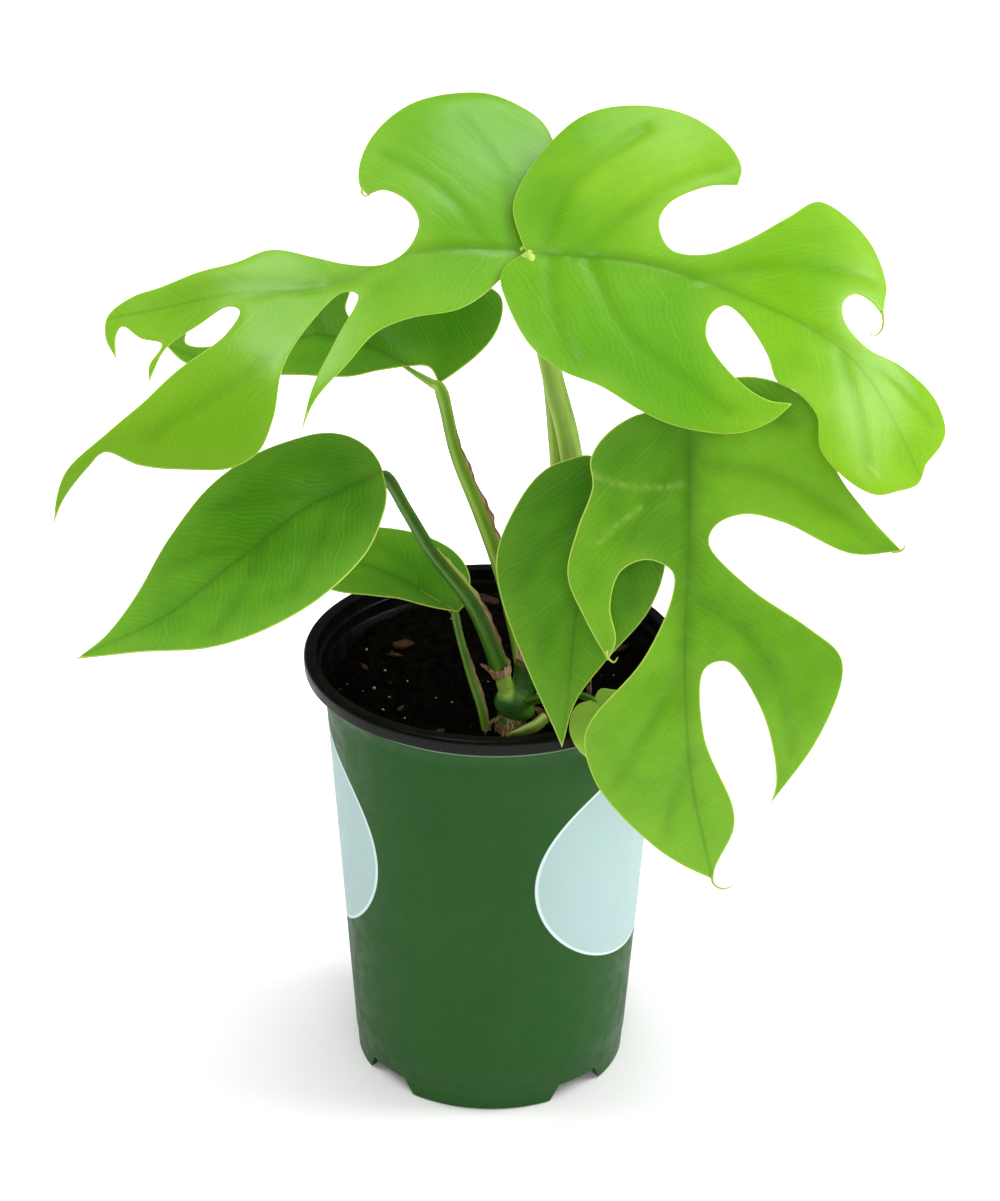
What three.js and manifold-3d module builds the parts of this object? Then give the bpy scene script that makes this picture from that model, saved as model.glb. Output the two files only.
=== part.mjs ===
// A young potted Rhaphidophora tetrasperma, the climbing aroid sold as mini monstera.
//
// Eight leaves rise on long petioles from one short stem in a round plastic nursery pot.
// Three of the blades are grown-up ones with deep lobes; the other five are still plain.
// Units are millimetres and +Z is up. Lengths are first written from the axis of the pot
// at the level of its feet; the last lines set the plant's own footprint on the origin.

import * as THREE from 'three';
import { mergeVertices } from 'three/addons/utils/BufferGeometryUtils.js';
import Module from 'manifold-3d';

const wasm = await Module();
wasm.setup();

// Driving dimensions of the pot
const POT_HEIGHT = 133;
const POT_BASE_RADIUS = 40;
const POT_TOP_RADIUS = 49.5;
const POT_WALL = 1.1;
const POT_SIDES = 48;
const LIP_RADIUS = 54.7;
const LIP_HEIGHT = 4.5;
const LIP_WIDTH = 3.9;
const SHOULDER_HEIGHT = 12;
const SHOULDER_FLARE = 1.3;
const LEDGE_DROP = 4;
const FOOT_BAND = 7.5;
const FOOT_STEP = 0.2;
const FOOT_WALL = 2;
const FLOOR_UNDERSIDE = 5.2;
const FLOOR_THICKNESS = 1.4;
const FOOT_TURN = -4;
const NOTCH_COUNT = 4;
const NOTCH_WIDTH_BELOW = 21;
const NOTCH_WIDTH_ABOVE = 14;
const NOTCH_DEPTH = 10;
const DRAIN_COUNT = 8;
const DRAIN_RADIUS = 3.5;
const DRAIN_CIRCLE = 28;

// Driving dimensions of the soil
const SOIL_LEVEL = 118.5;
const SOIL_RISE_BEHIND = 6.5;
const SOIL_RISE_START = 0;
const SOIL_RISE_LENGTH = 44;

// Driving dimensions of the plant
const GAP = 0.3;
const BLADE_THICKNESS = 0.8;
const BLADE_ROWS = 9;
const MIDRIB_DEPTH = 1.5;
const MIDRIB_WIDTH = 2.2;
const FOLD_SOFTNESS = 5;
const BLADE_COLUMNS = [0, 1.8, 4.5, 13, 22, 32, 43, 55];
const EDGE_STEPS = 2;

const COLOURS = {
  pot: { color: 0x2f6b2c, roughness: 0.42, metalness: 0 },
  soil: { color: 0x1d1410, roughness: 0.95, metalness: 0 },
  stem: { color: 0x4a8a26, roughness: 0.5, metalness: 0 },
  bright: { color: 0x6fb022, roughness: 0.42, metalness: 0 },
  deep: { color: 0x3f8420, roughness: 0.45, metalness: 0 },
  papery: { color: 0xa9895a, roughness: 0.8, metalness: 0 },
  root: { color: 0x8a6a44, roughness: 0.85, metalness: 0 },
};

// Each leaf lies on a chord from the base of its midrib to its tip, in millimetres from the
// pot's axis. face is the rough direction that its upper side looks in. Points of arch,
// midrib and edge are written as distances along the chord and across it. arch is how far
// the midrib stands off the chord, midrib how far it wanders sideways, fold the slope of
// the two halves up from the midrib, and droop how fast each half sinks again outwards.
// A bend [along, across, degrees, rate] turns the blade down beyond a line through that
// point. Every run of edge is one smooth stretch of margin between two points of the leaf.
const LEAVES = [
  {
    name: 'upper_right',
    finish: 'bright',
    base: [8, 0, 256],
    tip: [115, -45, 215],
    face: [0.12, -0.62, 0.78],
    arch: [[0, 0], [31, 5], [62, 8], [92, 6.5], [123, 0]],
    midrib: [[0, 0], [31, 11.5], [62, 15], [92, 17], [122, 5]],
    fold: 0.12,
    droop: [0.0015, 0.0015],
    bends: [[36, 38, 40, 0.006], [86, 32, 30, 0.006], [76, -6, -50, 0.006]],
    edge: [
      [[0, 0], [-3.5, 3], [-11, 12], [-12.5, 29.5], [-8, 47.5], [3.5, 57], [18, 60], [31, 57],
        [38.5, 51.5], [40.5, 45.5]],
      [[40.5, 45.5], [33.5, 41], [27, 31.5], [27.5, 24.5], [34.5, 18.5], [43.5, 21.5], [51, 30.5],
        [57, 43.5], [61.5, 54.5], [69, 56], [80, 53.5], [88.5, 46], [91, 39.5], [92.5, 36]],
      [[92.5, 36], [87.5, 37], [83.5, 35.5], [82, 30.5], [85, 25.5], [94, 23.5], [103.5, 27.5],
        [114.5, 29.5], [121, 25], [122.5, 19], [122, 9.5]],
      [[122, 9.5], [123, 2.5], [120, -5], [115.5, -12], [107.5, -15], [98, -13.5], [92.5, -6],
        [84.5, -3.5], [79, -4], [72.5, 2], [60.5, 9], [56, 9.5], [54, 4.5], [57, -3], [71, -10],
        [79.5, -10.5], [85.5, -7.5]],
      [[85.5, -7.5], [83.5, -15], [78, -23], [71, -27.5], [61, -31], [52, -31.5], [39, -30],
        [27.5, -30.5], [16.5, -27.5], [3, -17], [-2, -11], [-2.5, -6], [0, 0]],
    ],
    petiole: [[23, -5, 170], [23, -4.5, 183], [20.5, -3.5, 201], [15.5, -2.5, 221], [8.7, -0.5, 254]],
    petioleRadius: [3.4, 2.6],
  },
  {
    name: 'upper_left',
    finish: 'bright',
    base: [8, 4, 255],
    tip: [-104, -24, 244],
    face: [-0.08, -0.62, 0.78],
    arch: [[0, 0], [29, 5], [58, 8], [87, 6], [116, 0]],
    midrib: [[0, 0], [29, -2.5], [58, 4.5], [87, 1], [116, -1.5]],
    fold: 0.1,
    droop: [0.002, 0.0022],
    bends: [[110, 30, 45, 0.008], [58, 30, 60, 0.006]],
    edge: [
      [[0, -1], [-5.5, -8.5], [-12, -18.5], [-16.5, -31.5], [-15, -42.5], [-4, -52], [7, -53.5],
        [21, -50.5], [33, -42], [40, -31.5], [41.5, -24.5], [40, -21.5]],
      [[40, -21.5], [35, -22.5], [29.5, -18], [28, -11.5], [33, -3.5], [41, 0.5], [50.5, -1],
        [59, -4.5], [70, -9], [80, -7.5], [90.5, -7.5], [100.5, -6.5], [108.5, -6], [116, -2.5],
        [118, 3.5], [116.5, 11]],
      [[116.5, 11], [115, 4], [113, 2], [109, 7], [104, 10.5], [108.5, 15.5], [109.5, 20]],
      [[109.5, 20], [103, 12], [93, 8], [84.5, 5], [82, 7], [87.5, 13.5], [102, 19.5], [112.5, 25],
        [123, 29], [135, 33], [138.5, 37], [140.5, 42]],
      [[140.5, 42], [137, 38.5], [129, 34.5], [124.5, 33], [116.5, 39], [105.5, 44.5],
        [93.5, 48.5], [85.5, 47], [80, 40], [74.5, 27], [64.5, 15.5], [53.5, 7.5], [50, 9],
        [59, 22], [68.5, 35], [74, 46]],
      [[74, 46], [68.5, 38.5], [58.5, 30.5], [47.5, 21.5], [37.5, 18.5], [24.5, 17.5], [16, 13.5],
        [6, 5.5], [0, -1]],
    ],
    petiole: [[20, -1, 168], [19, 1, 180], [17.5, 3, 196], [15, 5, 218], [8, 4.5, 254.5]],
    petioleRadius: [2.8, 2],
  },
  {
    name: 'rear_left',
    finish: 'deep',
    base: [-16, 10, 212],
    tip: [-92, 14, 221],
    face: [0.05, -0.45, 0.89],
    arch: [[0, 0], [23, 4], [46, 6], [77, 0]],
    midrib: [[0, 0], [20, -7], [36, -7], [50, 1.5], [63, 5.5], [77.5, 0]],
    fold: 0.32,
    droop: [0.002, 0.002],
    bends: [],
    edge: [
      [[0, 0], [-5, -5.5], [-9.5, -11], [-13.5, -18], [-15, -25.5], [-13.5, -31], [-4.5, -34],
        [8, -33.5], [19, -30.5]],
      [[19, -30.5], [22.5, -24], [24.5, -18], [27, -14.5], [29, -17], [28.5, -23], [29.5, -27.5]],
      [[29.5, -27.5], [38, -25.5], [46, -21], [51.5, -16]],
      [[51.5, -16], [53, -9], [57, -2], [63, 0.5], [69, 0.7], [72, -0.8], [72, -5], [70.5, -10]],
      [[70.5, -10], [75, -6], [77.5, 0]],
      [[77.5, 0], [71, 6.6], [59, 11.3], [42.5, 12.2], [25.5, 8.2], [17, 2], [9.5, -3],
        [3.5, -4.5], [0, 0]],
    ],
    petiole: [[9, -12.5, 135], [2, -5, 160.5], [-4, 1, 175.5], [-11, 6, 192], [-16, 9.8, 211]],
    petioleRadius: [2.5, 1.7],
  },
  {
    name: 'front_left',
    finish: 'deep',
    base: [-31, -20, 199],
    tip: [-112, -66, 164],
    face: [-0.28, -0.46, 0.84],
    arch: [[0, 0], [25, 5], [50, 7], [75, 5], [99, 0]],
    midrib: [[0, 0], [25, 1], [50, 6], [75, 7.5], [99, 0]],
    fold: 0.15,
    droop: [0.002, 0.002],
    bends: [],
    edge: [
      [[0, 0], [-1, -3], [-1.5, -9.5], [1, -16.5], [6.5, -21], [17.5, -23], [29.5, -23],
        [43.5, -20], [60, -12.5], [76.5, -4], [89.5, 0], [99.5, 0]],
      [[99.5, 0], [86, 12.5], [72, 26], [58, 32.5], [41, 33.5], [22.5, 27.5], [8.5, 15],
        [3.5, 8], [0, 0]],
    ],
    petiole: [[2, -18, 136.5], [-6, -19, 157], [-18, -20, 175], [-24.5, -20, 187], [-30.5, -20, 197.5]],
    petioleRadius: [2.4, 1.6],
  },
  {
    name: 'low_left',
    finish: 'deep',
    base: [-10, -8, 149],
    tip: [-60, 8, 156],
    face: [0, -0.25, 0.97],
    arch: [[0, 0], [18, 3], [36, 3], [53, 0]],
    midrib: [[0, 0], [19, -3.5], [37, -4.5], [53, 0]],
    fold: 0.15,
    droop: [0.001, 0.001],
    bends: [],
    edge: [
      [[0, 0], [-0.5, -5.5], [2, -14.5], [8.5, -20], [20.5, -21.5], [31.5, -20], [42.5, -16],
        [50.5, -9], [53.5, -1]],
      [[53.5, -1], [35, 10], [23.5, 7.5], [17, 5], [8, 3], [0, 0]],
    ],
    petiole: [[-1, -21, 114], [-3.3, -19, 124], [-6, -16, 131.5], [-9.7, -10, 142.5], [-11, -8, 148]],
    petioleRadius: [1.4, 1.1],
  },
  {
    name: 'centre',
    finish: 'bright',
    base: [30, -28, 204],
    tip: [19, -58, 133],
    face: [-0.1, -0.95, 0.3],
    arch: [[0, 0], [23, 5], [47, 6], [78, 0]],
    midrib: [[0, 0], [20, -0.5], [39, -1.5], [58, -0.5], [78, 0]],
    fold: 0.1,
    droop: [0.002, 0.002],
    bends: [],
    edge: [
      [[0, 0], [-3, -4.5], [-1, -10.5], [2, -15.5], [8, -20], [23, -25], [30.5, -25], [39.5, -22],
        [59.5, -11], [74, -2], [77.5, 0]],
      [[77.5, 0], [64, 2], [51.5, 8.5], [36, 18], [23.5, 20.5], [11, 18], [1.5, 11.5],
        [-1.5, 4], [0, 0]],
    ],
    petiole: [[17, -9, 146], [22, -14, 166], [28, -21, 190], [30, -27, 203]],
    petioleRadius: [2.4, 1.5],
  },
  {
    name: 'lower_right',
    finish: 'bright',
    base: [52, -37, 222],
    tip: [61, -64, 95],
    face: [0.1, -0.95, 0.3],
    arch: [[0, 0], [32, 6], [65, 8], [97, 6], [130, 0]],
    midrib: [[0, 0], [32, -2.5], [65, -5.5], [97, -5], [130, 0.5]],
    fold: 0.08,
    droop: [0.0012, 0.0012],
    bends: [],
    edge: [
      [[0, 0], [-3.5, -5], [-3.5, -14], [1, -23], [7, -27.5], [14, -27.5], [25, -32.5], [37, -36],
        [49.5, -32], [61.5, -26.5]],
      [[61.5, -26.5], [56, -24], [46.5, -25], [37.5, -21.5], [35, -14], [39, -7.5], [45.5, -8],
        [62.5, -17], [77.5, -31.5], [83.5, -34], [97.5, -31], [116.5, -17], [124.5, -8],
        [130, 0.5]],
      [[130, 0.5], [126, 1.5], [115, 6.5], [108, 6.5], [85.5, -1], [66.5, 0], [65, 6], [80, 15],
        [100.5, 18.5], [107.5, 17]],
      [[107.5, 17], [90.5, 29.5], [72.5, 37.5], [65.5, 37], [57, 28.5], [44.5, 13], [32, 3],
        [27.5, 5], [25, 13], [28, 23.5], [38, 41.5], [38.5, 55.5]],
      [[38.5, 55.5], [28, 47], [15.5, 39], [-0.5, 35], [-9, 25], [-11.5, 14.5], [-9.5, 8],
        [-5.5, 3.5], [0, 0]],
    ],
    petiole: [[20.5, -6, 158], [29, -13, 184], [42, -24, 209], [51, -35, 221]],
    petioleRadius: [2.9, 1.8],
  },
  {
    name: 'rim_right',
    finish: 'bright',
    base: [28, -38, 137.5],
    tip: [49, -57, 128],
    face: [0.05, -0.3, 0.95],
    arch: [[0, 0], [15, 3], [30, 0]],
    midrib: [[0, 0], [15, 0], [30, 0]],
    fold: 0.1,
    droop: [0.002, 0.002],
    bends: [],
    edge: [
      [[0, 0], [-1.5, 4.5], [1.5, 6.5], [8, 11], [17, 12], [25, 7], [30.5, 0]],
      [[30.5, 0], [26.5, -9], [21.5, -16], [14, -19], [4.5, -14.5], [-1.5, -5], [0, 0]],
    ],
    petiole: [[8, -18, 125], [15, -25, 131], [22, -32, 136], [27.5, -37.5, 137.3]],
    petioleRadius: [1.4, 1],
  },
];

// Smooth value of y at x through knots [x, y], straight beyond both ends.
function valueAt(knots, x) {
  const last = knots.length - 1;
  const slopes = [];
  for (let i = 0; i < last; i += 1) {
    slopes.push((knots[i + 1][1] - knots[i][1]) / (knots[i + 1][0] - knots[i][0]));
  }
  const tangent = (i) => {
    if (i === 0) return slopes[0];
    if (i === last) return slopes[last - 1];
    const before = knots[i][0] - knots[i - 1][0];
    const after = knots[i + 1][0] - knots[i][0];
    return (slopes[i - 1] * after + slopes[i] * before) / (before + after);
  };
  if (x <= knots[0][0]) return knots[0][1] + slopes[0] * (x - knots[0][0]);
  if (x >= knots[last][0]) return knots[last][1] + slopes[last - 1] * (x - knots[last][0]);
  let i = 0;
  while (x > knots[i + 1][0]) i += 1;
  const width = knots[i + 1][0] - knots[i][0];
  const s = (x - knots[i][0]) / width;
  const fromStart = (1 + 2 * s) * (1 - s) ** 2 * knots[i][1] + s * (1 - s) ** 2 * width * tangent(i);
  const fromEnd = s * s * (3 - 2 * s) * knots[i + 1][1] - s * s * (1 - s) * width * tangent(i + 1);
  return fromStart + fromEnd;
}

function smoothPoints(points, steps) {
  const vectors = points.map((p) => new THREE.Vector3(p[0], p[1], p[2] ?? 0));
  const curve = new THREE.CatmullRomCurve3(vectors, false, 'centripetal');
  return curve.getPoints((points.length - 1) * steps);
}

function solidFrom(geometry) {
  const bare = geometry.index ? geometry.clone() : geometry;
  bare.deleteAttribute('normal');
  bare.deleteAttribute('uv');
  const merged = mergeVertices(bare, 1e-4);
  const solid = new wasm.Manifold(new wasm.Mesh({
    numProp: 3,
    vertProperties: new Float32Array(merged.attributes.position.array),
    triVerts: new Uint32Array(merged.index.array),
  }));
  return solid;
}

// A cut can leave a sliver on the far side of a neighbour: only the piece itself is kept.
function mainBody(solid) {
  const bodies = solid.decompose();
  return bodies.reduce((best, body) => (body.volume() > best.volume() ? body : best));
}

function subPart(name, solid, finish) {
  const mesh = mainBody(solid).getMesh();
  const geometry = new THREE.BufferGeometry();
  geometry.setAttribute('position', new THREE.BufferAttribute(mesh.vertProperties, 3));
  geometry.setIndex(new THREE.BufferAttribute(mesh.triVerts, 1));
  geometry.computeVertexNormals();
  const part = new THREE.Mesh(geometry, new THREE.MeshStandardMaterial(COLOURS[finish]));
  part.name = name;
  return part;
}

// A round or oval rod along a path, as a closed geometry. section(t) gives the half widths
// across the path at t from 0 to 1, the first of them towards side. extra makes the rod
// larger by that much all round, its ends too.
function rod(points, section, { side = [0, 1, 0], sides = 8, steps = 3, extra = 0 } = {}) {
  const path = smoothPoints(points, steps);
  const positions = [];
  const indices = [];
  const last = path.length - 1;
  path.forEach((centre, i) => {
    const before = path[Math.max(i - 1, 0)];
    const after = path[Math.min(i + 1, last)];
    const along = after.clone().sub(before).normalize();
    const across = new THREE.Vector3(...side);
    across.addScaledVector(along, -across.dot(along)).normalize();
    const other = along.clone().cross(across);
    const [halfSide, halfOther] = section(i / last);
    const stretch = i === 0 ? -extra : (i === last) * extra;
    for (let k = 0; k < sides; k += 1) {
      const angle = (2 * Math.PI * k) / sides;
      const point = centre.clone().addScaledVector(along, stretch);
      point.addScaledVector(across, (halfSide + extra) * Math.cos(angle));
      point.addScaledVector(other, (halfOther + extra) * Math.sin(angle));
      positions.push(point.x, point.y, point.z);
    }
  });
  const ring = (i, k) => i * sides + (k % sides);
  for (let i = 0; i < last; i += 1) {
    for (let k = 0; k < sides; k += 1) {
      indices.push(ring(i, k), ring(i, k + 1), ring(i + 1, k));
      indices.push(ring(i, k + 1), ring(i + 1, k + 1), ring(i + 1, k));
    }
  }
  for (let k = 1; k < sides - 1; k += 1) {
    indices.push(ring(0, 0), ring(0, k + 1), ring(0, k));
    indices.push(ring(last, 0), ring(last, k), ring(last, k + 1));
  }
  const geometry = new THREE.BufferGeometry();
  geometry.setAttribute('position', new THREE.Float32BufferAttribute(positions, 3));
  geometry.setIndex(indices);
  return geometry;
}

const taper = (from, to) => (t) => {
  const radius = from + (to - from) * t;
  return [radius, radius];
};

const swelling = (from, to, places) => (t) => {
  const bumps = places.reduce((sum, [at, width, height]) => (
    sum + height * Math.exp(-(((t - at) / width) ** 2))
  ), 0);
  const radius = from + (to - from) * t + bumps;
  return [radius, radius];
};

// The outside of the pot's wall widens straight to the shoulder, then flares to the lip.
function wallRadius(height) {
  const straight = POT_BASE_RADIUS + ((POT_TOP_RADIUS - POT_BASE_RADIUS) * height) / POT_HEIGHT;
  const shoulder = POT_HEIGHT - SHOULDER_HEIGHT;
  const rise = THREE.MathUtils.smoothstep(height, shoulder, shoulder + SHOULDER_HEIGHT / 2);
  return straight + SHOULDER_FLARE * rise;
}

function lathed(profile, sides) {
  const geometry = new THREE.LatheGeometry(profile.map((p) => new THREE.Vector2(...p)), sides);
  geometry.rotateX(Math.PI / 2);
  const solid = solidFrom(geometry);
  return solid;
}

function nurseryPot() {
  const lipBottom = POT_HEIGHT - LIP_HEIGHT;
  const lipInside = LIP_RADIUS - LIP_WIDTH;
  const upperLedge = POT_HEIGHT - LEDGE_DROP;
  const lowerLedge = upperLedge - LEDGE_DROP;
  const shoulder = POT_HEIGHT - SHOULDER_HEIGHT;
  const floorTop = FLOOR_UNDERSIDE + FLOOR_THICKNESS;
  const footOutside = POT_BASE_RADIUS - FOOT_STEP;
  const profile = [
    [footOutside, 0],
    [wallRadius(FOOT_BAND) - FOOT_STEP, FOOT_BAND - FOOT_STEP],
    [wallRadius(FOOT_BAND), FOOT_BAND],
    [wallRadius(shoulder), shoulder],
    [wallRadius(shoulder + 2), shoulder + 2],
    [wallRadius(shoulder + 4), shoulder + 4],
    [wallRadius(shoulder + 6), shoulder + 6],
    [wallRadius(lipBottom), lipBottom],
    [LIP_RADIUS - 0.7, lipBottom],
    [LIP_RADIUS, lipBottom + 1],
    [LIP_RADIUS, POT_HEIGHT - 1.4],
    [LIP_RADIUS - 0.9, POT_HEIGHT - 0.2],
    [LIP_RADIUS - 2, POT_HEIGHT],
    [lipInside + 0.7, POT_HEIGHT - 0.2],
    [lipInside, POT_HEIGHT - 1],
    [lipInside - 0.3, upperLedge + 0.4],
    [wallRadius(upperLedge) - POT_WALL - 0.1, upperLedge],
    [wallRadius(lowerLedge) - POT_WALL, lowerLedge + 0.4],
    [wallRadius(shoulder) - POT_WALL, shoulder - 0.5],
    [wallRadius(floorTop) - POT_WALL, floorTop + 1],
    [wallRadius(floorTop) - POT_WALL - 1, floorTop],
    [0, floorTop],
    [0, FLOOR_UNDERSIDE],
    [footOutside - FOOT_WALL, FLOOR_UNDERSIDE],
    [footOutside - FOOT_WALL, 0],
    [footOutside, 0],
  ];
  let pot = lathed(profile, POT_SIDES);
  const wedge = new THREE.Shape([
    new THREE.Vector2(-NOTCH_WIDTH_BELOW / 2, -1),
    new THREE.Vector2(NOTCH_WIDTH_BELOW / 2, -1),
    new THREE.Vector2(NOTCH_WIDTH_ABOVE / 2, FLOOR_UNDERSIDE),
    new THREE.Vector2(-NOTCH_WIDTH_ABOVE / 2, FLOOR_UNDERSIDE),
  ]);
  for (let i = 0; i < NOTCH_COUNT; i += 1) {
    const cutter = new THREE.ExtrudeGeometry(wedge, { depth: NOTCH_DEPTH, bevelEnabled: false });
    cutter.rotateX(Math.PI / 2);
    cutter.translate(0, NOTCH_DEPTH - POT_BASE_RADIUS - FOOT_WALL, 0);
    const turn = FOOT_TURN + (360 / NOTCH_COUNT) * (i + 0.5);
    cutter.rotateZ(THREE.MathUtils.degToRad(turn));
    pot = pot.subtract(solidFrom(cutter));
  }
  for (let i = 0; i < DRAIN_COUNT; i += 1) {
    const drill = new THREE.CylinderGeometry(DRAIN_RADIUS, DRAIN_RADIUS, 4 * FLOOR_THICKNESS, 12);
    drill.rotateX(Math.PI / 2);
    drill.translate(DRAIN_CIRCLE, 0, FLOOR_UNDERSIDE);
    drill.rotateZ((2 * Math.PI * i) / DRAIN_COUNT);
    pot = pot.subtract(solidFrom(drill));
  }
  return pot;
}

// The soil lies low in front and is heaped up towards the back wall.
function pottingSoil() {
  const bottom = FLOOR_UNDERSIDE + FLOOR_THICKNESS + GAP;
  const side = (height) => wallRadius(height) - POT_WALL - GAP - 0.1;
  const profile = [
    [0, bottom],
    [side(bottom) - 1, bottom],
    [side(bottom + 1), bottom + 1],
    [side(SOIL_LEVEL), SOIL_LEVEL],
    [38, SOIL_LEVEL],
    [28, SOIL_LEVEL],
    [17, SOIL_LEVEL],
    [7, SOIL_LEVEL],
    [0, SOIL_LEVEL],
  ];
  const geometry = new THREE.LatheGeometry(profile.map((p) => new THREE.Vector2(...p)), 40);
  geometry.rotateX(Math.PI / 2);
  const place = geometry.attributes.position;
  for (let i = 0; i < place.count; i += 1) {
    const heap = (place.getY(i) - SOIL_RISE_START) / SOIL_RISE_LENGTH;
    const rise = SOIL_RISE_BEHIND * THREE.MathUtils.smoothstep(heap, 0, 1);
    if (place.getZ(i) > SOIL_LEVEL - 1) place.setZ(i, place.getZ(i) + rise);
  }
  return solidFrom(geometry);
}

// The stem climbs from its buried foot through a swollen old node. The stub beside that node
// carries the lowest leaf, and roots leave the foot in four directions.
const STEM = [[5, -20, 100], [5, -20, 113], [5, -19.5, 119], [6.5, -18, 124.5], [9, -14.5, 130],
  [10, -12.5, 137], [15, -8, 150], [21, -5.5, 162], [23, -5, 171]];
const STEM_RADIUS = [4.2, 2.9];
const STEM_NODES = [[0.53, 0.03, 0.6], [0.7, 0.03, 0.7], [0.86, 0.03, 0.7]];
const OLD_NODE = { at: [6.1, -18.5, 124.7], radii: [6.2, 5.2, 4.4], tilt: 25 };
const FOOT_NODE = { at: [4.9, -20, 119], radii: [4.6, 4.6, 4.4], tilt: 0 };
const STUB = [[6, -18, 123], [3.6, -18, 130], [2.4, -18, 135.6]];
const STUB_RADIUS = [2.5, 2.3];
const ROOTS = [
  [[5, -20, 106], [-8, -26, 92], [-20, -30, 62], [-22, -28, 36]],
  [[5, -20, 106], [2, -8, 90], [-6, 8, 60], [-8, 14, 30]],
  [[5, -20, 106], [16, -16, 92], [24, -6, 62], [28, 2, 34]],
  [[5, -20, 106], [8, -30, 90], [14, -34, 58], [12, -32, 32]],
];
const ROOT_RADIUS = [1.9, 0.8];

// Thin roots that leave the stem above the soil and dive into it.
const AERIAL_ROOTS = [
  [[12, -14.5, 126], [15.5, -16, 123.5], [17, -16.5, 113]],
  [[17, -9, 149], [20.5, -13, 143], [20, -17, 130], [19, -18, 110]],
  [[20, -4.5, 160], [24, -3, 156], [27, -1, 140], [28, 0, 112]],
];
const AERIAL_RADIUS = [0.9, 0.6];

// A pale new shoot lies on the soil against the swollen node.
const SHOOT = [[4, -27, 119.8], [8, -26.2, 121], [12, -24.6, 122.4], [13.5, -21.5, 123.8]];
const SHOOT_TIP = 0.4;
const SHOOT_SWELLING = 1.9;

// Papery collars are what is left of old leaf sheaths: [foot, direction, inside radius].
const COLLARS = {
  collar_lower: [[2.5, -18, 134.4], [-0.34, 0, 0.94], 2.7],
  collar_upper: [[10, -12.6, 136.2], [0.3, 0.2, 0.93], 4.1],
};
const COLLAR_HEIGHT = 4.8;
const COLLAR_WALL = 0.7;
const COLLAR_FLARE = 1;

// Dry brown sheath margins run up one side of some petioles: [leaf, from, to] along it.
const SHEATHS = [['front_left', 0.05, 0.62], ['rear_left', 0.3, 0.85], ['low_left', 0.2, 0.7]];
const SHEATH_HALF_WIDTHS = [0.9, 1.2];
const SHEATH_TUCK = 0.6;

function swollenNode({ at, radii, tilt }, extra) {
  const geometry = new THREE.SphereGeometry(1, 14, 10);
  geometry.scale(...radii.map((radius) => radius + extra));
  geometry.rotateY(THREE.MathUtils.degToRad(tilt));
  geometry.translate(...at);
  return solidFrom(geometry);
}

// The stem, its stub at the lowest leaf and the roots in the soil grew as one piece.
function stemSolid(extra) {
  const options = { sides: 10, steps: 2, extra };
  let stem = solidFrom(rod(STEM, swelling(...STEM_RADIUS, STEM_NODES), options));
  stem = stem.add(solidFrom(rod(STUB, taper(...STUB_RADIUS), options)));
  stem = stem.add(swollenNode(OLD_NODE, extra)).add(swollenNode(FOOT_NODE, extra));
  ROOTS.forEach((root) => {
    stem = stem.add(solidFrom(rod(root, taper(...ROOT_RADIUS), { sides: 6, extra })));
  });
  return stem;
}

function aerialRootSolid(root, extra) {
  return solidFrom(rod(root, taper(...AERIAL_RADIUS), { sides: 6, extra }));
}

function shootSolid(extra) {
  const section = (t) => {
    const width = SHOOT_TIP + SHOOT_SWELLING * Math.sin(Math.PI * Math.min(0.6 * t, 0.5));
    return [width, 0.8 * width];
  };
  return solidFrom(rod(SHOOT, section, { side: [0, 0, 1], extra }));
}

function collarSolid([foot, direction, inside]) {
  const profile = [
    [inside, 0],
    [inside + COLLAR_WALL, 0],
    [inside + COLLAR_WALL + COLLAR_FLARE, COLLAR_HEIGHT],
    [inside + COLLAR_FLARE, COLLAR_HEIGHT],
    [inside, 0],
  ];
  const geometry = new THREE.LatheGeometry(profile.map((p) => new THREE.Vector2(...p)), 14);
  const axis = new THREE.Vector3(...direction).normalize();
  const turn = new THREE.Quaternion().setFromUnitVectors(new THREE.Vector3(0, 1, 0), axis);
  geometry.applyQuaternion(turn);
  geometry.translate(...foot);
  return solidFrom(geometry);
}

function sheathSolid(leaf, from, to) {
  const path = smoothPoints(leaf.petiole, 3);
  const last = path.length - 1;
  const points = [];
  path.forEach((p, i) => {
    if (i / last < from || i / last > to) return;
    const along = path[Math.min(i + 1, last)].clone().sub(path[Math.max(i - 1, 0)]).normalize();
    const side = new THREE.Vector3(1, 0, 0);
    side.addScaledVector(along, -side.dot(along)).normalize();
    const [radius] = taper(...leaf.petioleRadius)(i / last);
    const out = radius + GAP + SHEATH_HALF_WIDTHS[0] - SHEATH_TUCK;
    points.push(p.clone().addScaledVector(side, out).toArray());
  });
  return solidFrom(rod(points, () => SHEATH_HALF_WIDTHS, { side: [1, 0, 0], steps: 1 }));
}

function petioleSolid(leaf, extra) {
  return solidFrom(rod(leaf.petiole, taper(...leaf.petioleRadius), { extra }));
}

// The plane of a blade: where it starts, and its directions along, across and off the face.
function bladePlane(leaf) {
  const base = new THREE.Vector3(...leaf.base);
  const along = new THREE.Vector3(...leaf.tip).sub(base).normalize();
  const off = new THREE.Vector3(...leaf.face);
  off.addScaledVector(along, -off.dot(along)).normalize();
  const across = off.clone().cross(along);
  return new THREE.Matrix4().makeBasis(along, across, off).setPosition(base);
}

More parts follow.
